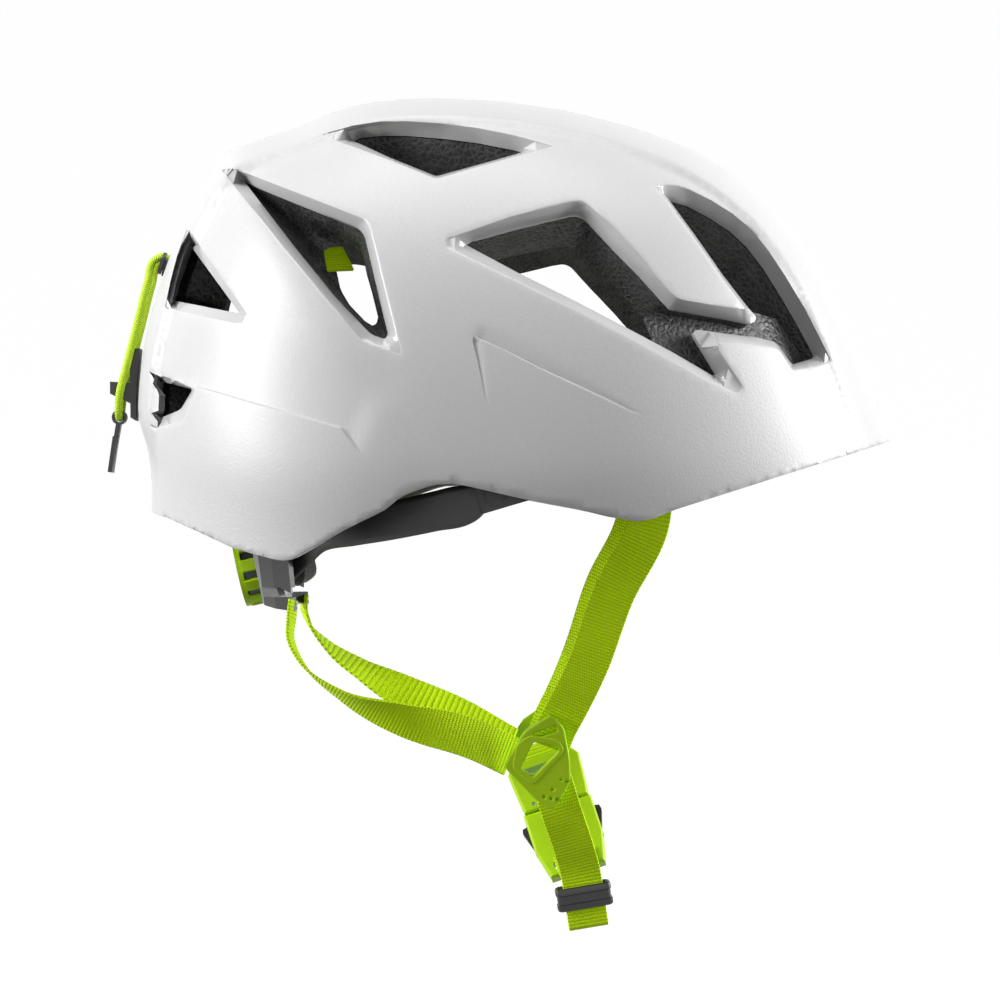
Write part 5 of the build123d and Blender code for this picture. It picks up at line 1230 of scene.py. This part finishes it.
def tube(name, path, radius, mat, step=0.8, sides=20):
    c, a, n, s, w = resample([(p, (1, 0.02, 0.03)) for p in path], step)
    t = unit(np.gradient(c, axis=0))
    # parallel transport, so the section never flips
    ax = [unit(np.cross(t[0], vec(0.3, 0.2, 0.9)))]
    for i in range(1, len(c)):
        v = ax[-1] - t[i] * np.dot(ax[-1], t[i])
        ax.append(unit(v))
    ax = np.array(ax)
    nr = np.cross(t, ax)
    an = [2 * math.pi * k / sides for k in range(sides)]
    m = len(c)

    def prof(i):
        r = radius
        for e in (i, m - 1 - i):
            if e < 3:
                r *= (0.45, 0.8, 0.95)[e]
        return [(r * math.cos(x), r * math.sin(x)) for x in an]

    return swept(name, c, ax, nr, s, prof, mat, [k / sides for k in range(sides + 1)], True, 70)


def pad_strip(name, path, width, thick, mat, quilt=21.0, step=1.2):
    """Long crowned pad: thin stitched border, soft middle and sewn channels across."""
    c, a, n, s, w = resample(path, step)
    L = s[-1]
    us = np.linspace(-1, 1, 17)

    def prof(i):
        e = min(s[i], L - s[i]) / (width * 0.45)
        e = math.sqrt(max(0.0, 1 - (1 - min(e, 1)) ** 2))
        hw = width / 2 * (0.55 + 0.45 * e) * (1 - 0.03 * math.cos(2 * math.pi * s[i] / quilt))
        ch = abs(math.sin(math.pi * (s[i] - L / 2 + quilt / 2) / quilt))
        puff = 0.42 + 0.58 * ch ** 0.55
        top, bot = [], []
        for u in us:
            crown = max(0.0, 1 - (abs(u) / 0.93) ** 3.2) ** 0.5 if abs(u) < 0.93 else 0.0
            h = 0.35 + (thick / 2 - 0.35) * crown * puff * e
            top.append((u * hw, h))
            bot.append((u * hw, -(0.35 + (thick / 2 - 0.35) * min(1.0, crown * 1.3) * e)))
        return top + bot[::-1]

    uu = list(us * width / 2) + list(us[::-1] * width / 2) + [-width / 2]
    return swept(name, c, a, n, s, prof, mat, uu, True, 70)


def rounded(pts, r=1.4, k=5):
    out = []
    n = len(pts)
    P = [np.array(p[:2], float) for p in pts]
    for i in range(n):
        a, b, c = P[i - 1], P[i], P[(i + 1) % n]
        rr = pts[i][2] if len(pts[i]) > 2 else r
        l1, l2 = np.linalg.norm(a - b), np.linalg.norm(c - b)
        d = min(rr, 0.46 * l1, 0.46 * l2)
        p, q = b + (a - b) / l1 * d, b + (c - b) / l2 * d
        for j in range(k + 1):
            t = j / k
            out.append((1 - t) ** 2 * p + 2 * t * (1 - t) * b + t * t * q)
    return out


def plate(name, outline, holes, half, bevel, origin, xd, yd, mat):
    """Bevelled plate with rounded holes, from flat outlines in mm."""
    cu = bpy.data.curves.new(name + "_c", "CURVE")
    cu.dimensions = "2D"
    cu.fill_mode = "BOTH"
    cu.extrude = (half - bevel) * MM
    cu.bevel_depth = bevel * MM
    cu.bevel_resolution = 3
    cu.offset = -bevel * MM
    for lp in [outline] + holes:
        sp = cu.splines.new("POLY")
        sp.points.add(len(lp) - 1)
        for k, p in enumerate(lp):
            sp.points[k].co = (p[0] * MM, p[1] * MM, 0, 1)
        sp.use_cyclic_u = True
    tmp = bpy.data.objects.new(name + "_tmp", cu)
    bpy.context.scene.collection.objects.link(tmp)
    bpy.context.view_layer.update()
    me = bpy.data.meshes.new_from_object(tmp.evaluated_get(bpy.context.evaluated_depsgraph_get()))
    me.name = name
    bpy.data.objects.remove(tmp)
    xd, yd = unit(xd), unit(yd)
    zd = np.cross(xd, yd)
    M = Matrix([[xd[0], yd[0], zd[0], origin[0] * MM], [xd[1], yd[1], zd[1], origin[1] * MM],
                [xd[2], yd[2], zd[2], origin[2] * MM], [0, 0, 0, 1]])
    me.transform(M)
    me.materials.clear()
    me.materials.append(mat)
    me.polygons.foreach_set("use_smooth", np.ones(len(me.polygons), bool))
    me.update()
    me.set_sharp_from_angle(angle=math.radians(38))
    ob = bpy.data.objects.new(name, me)
    bpy.context.scene.collection.objects.link(ob)
    return ob


WEB_RIB = webbing_mat("webbing_lime_ribbed", LIME_HI, LIME_LO, 2.4)


def flip(path, side):
    return [(vec(side * p[0][0], p[0][1], p[0][2]), vec(side * p[1][0], p[1][1], p[1][2]), *p[2:]) for p in path]


def add(ob, body, node, slot_name):
    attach(ob, body)
    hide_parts(node)
    return ob


# ---------------------------------------------------------------- cradle frame
CRD = vec(0, 90.7, -23.7)
TC, TS = math.cos(math.radians(12.3)), math.sin(math.radians(12.3))
NVV, UVV = vec(0, TC, -TS), vec(0, TS, TC)


def cr(x, t, u):
    return CRD + NVV * t + UVV * u + vec(x, 0, 0)


# ---------------------------------------------------------------- harness webbing
FRONT = [((75.4, -54.5, 5), (0, 1, 0.15)), ((76.0, -53.5, -7), (0, 1, 0.2)),
         ((67.5, -41.0, -34.0), (0, 0.93, 0.35)), ((54.0, -32.0, -60.0), (0, 0.94, 0.3)),
         ((40.3, -24.6, -76.5), (0, 0.95, 0.3)), ((36.0, -20.5, -84.5), (0, 0.95, 0.3)),
         ((34.2, -18.0, -91.0), (0, 0.95, 0.3))]
REAR = [((46.0, 75.6, -36.5), (1, 0.2, -0.1), 0.78), ((46.5, 76.2, -42.4), (1, 0.2, -0.1), 0.8), ((48.0, 76.6, -50.0), (1, 0.1, -0.05), 0.84),
        ((50.5, 71.5, -60.5), (1, 0.05, 0.1), 0.88), ((51.5, 58.0, -71.0), (0.9, 0.1, 0.35), 0.92),
        ((48.0, 36.0, -80.0), (0.5, 0.2, 0.75), 0.96), ((40.0, 12.0, -87.0), (0.1, 0.25, 1), 1.0),
        ((31.0, -4.0, -94.8), (0.2, 0.3, 1), 1.0)]
REAR_LEFT = [REAR[0], REAR[1], ((48.5, 74.5, -48.0), (1, 0.1, 0.0), 0.84),
             ((51.0, 66.5, -57.5), (0.9, 0.1, 0.35), 0.88), ((51.0, 54.0, -66.0), (0.75, 0.2, 0.6), 0.92),
             ((48.0, 36.0, -75.5), (0.4, 0.2, 0.85), 0.96), ((40.0, 12.0, -86.0), (0.1, 0.25, 1), 1.0),
             REAR[-1]]
for side, nm, rear in ((1, "left", REAR_LEFT), (-1, "right", REAR)):
    fs = ribbon(f"front_strap_{nm}_web", flip(FRONT, side), 15.0, 1.1, WEB, rib=0.05, pitch=0.85, step=0.4)
    add(fs, "helmet", f"front_strap_{nm}", "webbing_green")
    if side > 0:
        rs = ribbon("rear_strap_left_web", flip(rear, side), 15.0, 1.0, WEB_RIB, rib=0.22, pitch=2.4, step=0.4)
    else:
        rs = ribbon("rear_strap_right_web", flip(rear, side), 15.0, 1.0, WEB, rib=0.06, pitch=0.85, step=0.4)
    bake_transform(rs)
    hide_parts(f"rear_strap_{nm}")

# crown strap on the liner's inner face
cs_path = []
for b in range(50, 121, 5):
    p = deep(115.0, float(b), -26.2, False)
    cs_path.append((vec(-p[0], -p[1], p[2]), (0, 1, 0.35)))
add(ribbon("crown_strap_web", cs_path, 19.0, 1.1, WEB, rib=0.05, pitch=0.85), "helmet", "crown_strap", "webbing_green")

# ---------------------------------------------------------------- dividers
LEAN = math.radians(14)
cl, sl = math.cos(LEAN), math.sin(LEAN)
DIV_OUT = [(-5.7, 13.1, 2.5), (4.1, 19.8, 2.0), (8.7, 14.8, 2.5), (9.5, 11.0), (10.9, 2.9), (11.4, -5.8, 3.0),
           (5.8, -16.3, 1.5), (3.6, -16.9, 1.5), (-1.5, -13.4, 2.5), (-12.2, -1.7, 2.5), (-13.1, 0.0, 1.2), (-7.1, 11.0, 3.0)]
DIV_WIN = [(-2.4, 9.3, 1.4), (6.4, 7.6, 1.2), (7.0, 5.8, 1.0), (-2.6, -4.4, 1.2), (-7.1, -1.1, 1.4)]
DIV_SLOT = [(-2.6, 12.4, 0.8), (5.7, 15.6, 0.8), (6.6, 13.2, 0.8), (-1.7, 10.6, 0.8)]
DIMPLES = ((8.1, -5.2), (10.0, -5.8), (4.8, -9.0), (9.0, -9.6), (1.5, -12.0), (4.2, -12.6), (6.6, -13.0))


def circle(c, r, n=16):
    return [(c[0] + r * math.cos(2 * math.pi * k / n), c[1] + r * math.sin(2 * math.pi * k / n)) for k in range(n)]


for side, nm in ((1, "left"), (-1, "right")):
    xd, yd = vec(0, -1, 0), vec(side * sl, 0, cl)
    nrm = vec(side * cl, 0, -sl)
    org = vec(side * 36, -14.7, -97.6)
    base = plate(f"divider_{nm}_plate", rounded(DIV_OUT), [rounded(DIV_WIN), rounded(DIV_SLOT)] + [circle(p, 0.55) for p in DIMPLES],
                 1.3, 0.55, org, xd, yd, GREENP)
    # raised frame round the window
    frame_o = rounded([(x * 1.0, y) for x, y in ((-8.6, 8.4), (-4.0, 12.0), (6.8, 10.2), (9.3, 6.2), (-2.4, -7.6), (-10.4, -1.0))], 2.2)
    rim = plate(f"divider_{nm}_frame", frame_o, [rounded([(p[0], p[1]) for p in DIV_WIN], 1.2)], 0.9, 0.45, org + nrm * 0.75, xd, yd, GREENP)
    with_join = [base, rim]
    bm_me = base.data
    add(base, "helmet", f"divider_{nm}", "plastic_green")
    rim.parent = base

# ---------------------------------------------------------------- buckle frame and chin webbing
BC = vec(4.0, -22.7, -119.0)
AUP = unit(vec(18, 14, 41.7))
WD = vec(0, -0.956, 0.292)
WD = unit(WD - AUP * np.dot(WD, AUP))
TH = unit(np.cross(WD, AUP))


def bk(a, b, c):
    return BC + WD * a + AUP * b + TH * c


KC = vec(-13.4, -31.4, -148.0)
DN = unit(vec(2.0, -2.2, -14.0))
WC = vec(0.05, -0.98, 0.13)
WC = unit(WC - DN * np.dot(WC, DN))
FCC = unit(np.cross(DN, WC))
if FCC[0] > 0:
    FCC = -FCC


def kp(a, b, c):
    return KC + WC * a + DN * b + FCC * c


CHIN = [((-32.0, -19.0, -103.0), (0, -0.96, 0.28)), ((-28.6, -22.5, -114.5), (0, -0.97, 0.25)),
        ((-21.0, -27.3, -129.0), (0, -0.98, 0.17)), (kp(0, -9.4, 0.95), WC), (kp(0, 4, 0.9), WC),
        (kp(0, 10.4, 0.9), WC), (kp(0, 11.5, 0.75), WC), (kp(0, 12.0, 0.0), WC), (kp(0, 11.5, -0.75), WC),
        (kp(0, 10.4, -0.9), WC), (kp(0, 2, -0.9), WC), (kp(0, -8.2, -0.95), WC),
        (bk(0, -21.5, 5.2), -WD), (bk(0, -17.0, 5.2), -WD)]
add(ribbon("chin_strap_right_web", CHIN, 15.0, 1.0, WEB, rib=0.05, pitch=0.85, step=0.35), "helmet", "chin_strap_right", "webbing_green")
add(ribbon("chin_strap_left_web", [((31.6, -16.5, -95.5), (0, -0.9, 0.4)), ((27.0, -15.6, -94.6), (0, -0.93, 0.36)),
                                   (bk(0, 27.5, 0.3), WD), (bk(0, 24.4, 0.3), WD)], 15.0, 1.1, WEB, rib=0.05, pitch=0.85),
    "helmet", "chin_strap_left", "webbing_green")


# keeper: moulded loop with a grip channel round it
def rrect(hx, hy, r, k=7):
    out = []
    for cx, cy, a0 in ((hx - r, hy - r, 0), (-hx + r, hy - r, 90), (-hx + r, -hy + r, 180), (hx - r, -hy + r, 270)):
        for j in range(k):
            a = math.radians(a0 + 90 * j / (k - 1))
            out.append((cx + r * math.cos(a), cy + r * math.sin(a)))
    return out


def keeper():
    rings = [(-3.6, 8.3, 1.95, 0.5), (-4.3, 8.6, 2.2, 0.6), (-4.4, 9.6, 2.5, 1.1), (-4.1, 10.2, 2.95, 1.4), (-3.4, 10.5, 3.2, 1.6),
             (-1.9, 10.5, 3.25, 1.6), (-1.5, 10.15, 2.8, 1.5), (-0.9, 10.1, 2.75, 1.5), (1.5, 10.1, 2.75, 1.5),
             (2.0, 10.5, 3.25, 1.6), (3.5, 10.5, 3.2, 1.6), (4.1, 10.2, 2.95, 1.4), (4.4, 9.6, 2.5, 1.1),
             (4.3, 8.6, 2.2, 0.6), (3.6, 8.3, 1.95, 0.5)]
    verts, faces = [], []
    for b, hx, hy, r in rings:
        for x, y in rrect(hx, hy, r):
            verts.append(kp(x, b, y) * MM)
    m = len(verts) // len(rings)
    for i in range(len(rings)):
        j = (i + 1) % len(rings)
        for k in range(m):
            faces.append((i * m + k, i * m + (k + 1) % m, j * m + (k + 1) % m, j * m + k))
    return new_mesh("strap_keeper_loop", verts, faces, [BLACKP], sharp=35)


add(keeper(), "keeper", "strap_keeper", "plastic_black")

# ---------------------------------------------------------------- rear headband arms
for side, nm in ((1, "left"), (-1, "right")):
    arm = [(cr(24.8, -4.7, 6.9 * side), UVV, 0.36), (cr(31.5, -4.7, 6.9 * side), UVV, 0.42),
           (cr(38.0, -10.6, 6.2 * side + 0.6), UVV, 0.55), (cr(45.0, -18.6, 4.1 * side + 3), (0, 0.2, 1), 0.66),
           ((54, 65.0, -12.5 + side), (0, 0.1, 1), 0.8), ((64.0, 53.0, -10.5), (0, 0.1, 1), 0.9),
           ((71.5, 40.0, -7.7), (0, 0.15, 1), 1.0), ((76.2, 24.0, -4.2), (0, 0.2, 1), 1.05),
           ((77.3, 12.5, -1.6), (0, 0.2, 1), 1.05), ((77.4, 8.0, 0.2), (0, 0.2, 1), 0.86), ((77.4, 4.0, 1.0), (0, 0.2, 1), 0.5)]
    arm = [(vec(p[0][0] * side, p[0][1], p[0][2]), vec(p[1][0] * side, p[1][1], p[1][2]), p[2]) for p in arm]
    ob = ribbon(f"rear_arm_{nm}_band", arm, 13.6, 1.6, BLACKP, step=1.0, edge=0.5, cup=side * 0.25)
    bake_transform(ob)
    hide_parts(f"rear_arm_{nm}")

# ---------------------------------------------------------------- comfort pads
pad_path = [((-62.5, -64, 14.5), (0, 0, 1)), ((-44.5, -80.5, 16.5), (0, 0, 1)), ((-22.7, -89.2, 18), (0, 0, 1)),
            ((0, -91.6, 18.5), (0, 0, 1)), ((22.7, -89.2, 18), (0, 0, 1)), ((44.5, -80.5, 16.5), (0, 0, 1)),
            ((62.5, -64, 14.5), (0, 0, 1))]
brow = pad_strip("brow_pad_soft", pad_path, 20.0, 5.8, PAD, 22.0)
add(brow, "helmet", "brow_pad", "pad_black")
np_path = [(cr(-41, -18.3, -1), UVV), (cr(-30, -13.2, -1), UVV), (cr(-12, -11.0, -1), UVV), (cr(12, -11.0, -1), UVV),
           (cr(30, -13.2, -1), UVV), (cr(41, -18.3, -1), UVV)]
npad = pad_strip("nape_pad_soft", np_path, 20.0, 3.4, PAD, 16.0)
add(npad, "nape_cradle", "nape_pad", "pad_black")


def crown_cushion():
    na, nb = 44, 44
    verts, faces = [], []
    for lay in (0, 1):
        for i in range(na + 1):
            for j in range(nb + 1):
                u, v = 2 * i / na - 1, 2 * j / nb - 1
                # rounded outline whose sides pull in between the corners
                su = u * (1 - 0.05 * math.cos(math.pi * v / 2) ** 2)
                sv = v * (1 - 0.05 * math.cos(math.pi * u / 2) ** 2)
                al, be = 81.5 + 21.5 * su, 90 + 16.6 * sv
                e = max(0.0, 1 - max(abs(u), abs(v)) ** 5) ** 0.5
                q = 0.55 + 0.45 * abs(math.cos(math.pi * u * 1.5)) ** 0.5 * abs(math.cos(math.pi * v)) ** 0.35
                mid = 25.2
                h = 0.3 + 1.75 * e * (q if lay else 1.0)
                p = deep(al, be, -(mid + (h if lay else -h)), False)
                verts.append((-p[0], -p[1], p[2]))
    n = (na + 1) * (nb + 1)
    for i in range(na):
        for j in range(nb):
            a, b, c, d = i * (nb + 1) + j, i * (nb + 1) + j + 1, (i + 1) * (nb + 1) + j + 1, (i + 1) * (nb + 1) + j
            faces += [(a, b, c, d), (a + n, d + n, c + n, b + n)]
    ring = [i * (nb + 1) for i in range(na + 1)] + [na * (nb + 1) + j for j in range(1, nb + 1)]
    ring += [i * (nb + 1) + nb for i in range(na - 1, -1, -1)] + [j for j in range(nb - 1, 0, -1)]
    for k in range(len(ring)):
        a, b = ring[k], ring[(k + 1) % len(ring)]
        faces.append((a, b, b + n, a + n))
    return new_mesh("crown_pad_soft", np.array(verts) * MM, faces, [PAD], sharp=75)


cp = crown_cushion()
add(cp, "helmet", "crown_pad", "pad_black")

# ---------------------------------------------------------------- rear elastic loop
LOOP = [(123.6, 89.2), (126.4, 91.2), (129.4, 90.0), (132.2, 81.5), (136.0, 66.5), (140.2, 50.0), (143.0, 38.6)]
HALF = [9.0, 9.0, 9.0, 9.0, 8.8, 8.4, 7.4]
run = [(-h, y, z) for h, (y, z) in zip(HALF, LOOP)]
bend = [(-5.2, 143.4, 33.2), (-2.2, 143.5, 31.4), (2.2, 143.5, 31.4), (5.2, 143.4, 33.2)]
loop = tube("bungee_loop_cord", run + bend + [(-x, y, z) for x, y, z in run[::-1]], 1.5, CORD, step=0.7)
add(loop, "bungee_loop", "bungee_loop", "cord_green")


# ---------------------------------------------------------------- materials on CAD nodes
LOOK = {
    "headband_front": BLACKP, "nape_housing": GREYP, "nape_cover": BLACKP, "cover_screws": STEEL,
    "pinion": GREYP, "rack_left": BLACKP, "rack_right": BLACKP, "dial_core": BLACKP,
    "dial_grip": GREENP, "dial_screw": STEEL, "detent_spring": STEEL,
    "nape_wing_left": GREYP, "nape_wing_right": GREYP, "headband_pins": BLACKP,
    "divider_left": GREENP, "divider_right": GREENP, "buckle_male": GREENP,
    "buckle_female": GREENP, "prong_pins": STEEL, "buckle_prong_a": BLACKP,
    "buckle_prong_b": BLACKP, "strap_keeper": BLACKP, "strap_rivets": BLACKP,
    "cord_grommets": BLACKP, "bungee_hook": BLACKP, "pull_tab": BLACKP,
    "crown_pad": PAD, "brow_pad": PAD, "nape_pad": PAD, "rear_arm_left": BLACKP,
    "rear_arm_right": BLACKP, "front_strap_left": WEB, "front_strap_right": WEB,
    "rear_strap_left": WEB, "rear_strap_right": WEB, "crown_strap": WEB,
    "chin_strap_left": WEB, "chin_strap_right": WEB, "bungee_loop": CORD,
}
for node, mat in LOOK.items():
    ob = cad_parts.get(node)
    if ob is None:
        continue
    if not ob.material_slots:
        ob.data.materials.append(mat)
    for sl in ob.material_slots:
        sl.material = mat

# ---------------------------------------------------------------- stage, light, camera
def backdrop():
    """Pale floor that curves up behind the object on every side."""
    rows, segs = [], 96
    prof = [(0.0, 0.0), (1.0, 0.0), (2.4, 0.0), (3.2, 0.0)]
    for i in range(1, 13):
        a = math.radians(90 * i / 12)
        prof.append((3.2 + 1.2 * math.sin(a), 1.2 - 1.2 * math.cos(a)))
    prof += [(4.4, 3.0), (4.4, 6.0)]
    verts, faces = [], []
    for r, z in prof:
        for k in range(segs):
            t = 2 * math.pi * k / segs
            verts.append((r * math.cos(t), r * math.sin(t), FLOOR + z))
    for i in range(len(prof) - 1):
        for k in range(segs):
            a, b = i * segs + k, i * segs + (k + 1) % segs
            if i == 0:
                continue
            faces.append((a + segs, b + segs, b, a))
    verts.append((0, 0, FLOOR))
    c = len(verts) - 1
    for k in range(segs):
        faces.append((c, segs + k, segs + (k + 1) % segs))
    me = bpy.data.meshes.new("backdrop")
    me.from_pydata(verts, [], faces)
    me.polygons.foreach_set("use_smooth", np.ones(len(me.polygons), bool))
    ob = bpy.data.objects.new("backdrop", me)
    bpy.context.scene.collection.objects.link(ob)
    m = Mat("backdrop_white", rough=0.9)
    m.b.inputs["Base Color"].default_value = (0.06, 0.06, 0.06, 1)
    m.b.inputs["Specular IOR Level"].default_value = 0.1
    m.b.inputs["Emission Color"].default_value = (1, 1, 1, 1)
    m.b.inputs["Emission Strength"].default_value = GLOW
    me.materials.append(m.m)
    ob.visible_diffuse = False
    return ob


FLOOR = CAD_BOX[0][2] - 0.03
GLOW = 0.97
backdrop()


def area(name, loc, at, size, power, col=(1, 1, 1)):
    d = bpy.data.lights.new(name, "AREA")
    d.shape = "RECTANGLE"
    d.size, d.size_y = size
    d.energy = power
    d.color = col
    ob = bpy.data.objects.new(name, d)
    ob.location = loc
    ob.rotation_euler = (Vector(at) - Vector(loc)).to_track_quat("-Z", "Y").to_euler()
    bpy.context.scene.collection.objects.link(ob)
    return ob


area("top_soft", (-0.15, 0.1, 1.7), (0, 0, 0), (1.3, 1.3), 26)
area("rear_soft", (-0.42, 1.6, 0.5), (0, 0, 0.02), (0.8, 1.0), 38)
area("front_soft", (0.05, -1.6, 0.4), (0, 0, 0.02), (0.8, 1.0), 40)
area("camera_fill", (-1.9, -0.2, -0.05), (0, 0, -0.08), (0.8, 0.5), 4)
bpy.context.scene.view_settings.view_transform = "Standard"
world = bpy.data.worlds.new("studio")
world.use_nodes = True
bg = world.node_tree.nodes["Background"]
bg.inputs["Color"].default_value = (1, 1, 1, 1)
bg.inputs["Strength"].default_value = 0.13
bpy.context.scene.world = world

cam_data = bpy.data.cameras.new("camera")
cam_data.sensor_width = 36
cam_data.lens = 36 * 1.5 / 0.37736
cam = bpy.data.objects.new("camera", cam_data)
cam.location = (-1.5, 0, 0)
cam.rotation_euler = (math.radians(90), 0, math.radians(-90))
bpy.context.scene.collection.objects.link(cam)
bpy.context.scene.camera = cam

bpy.context.view_layer.update()
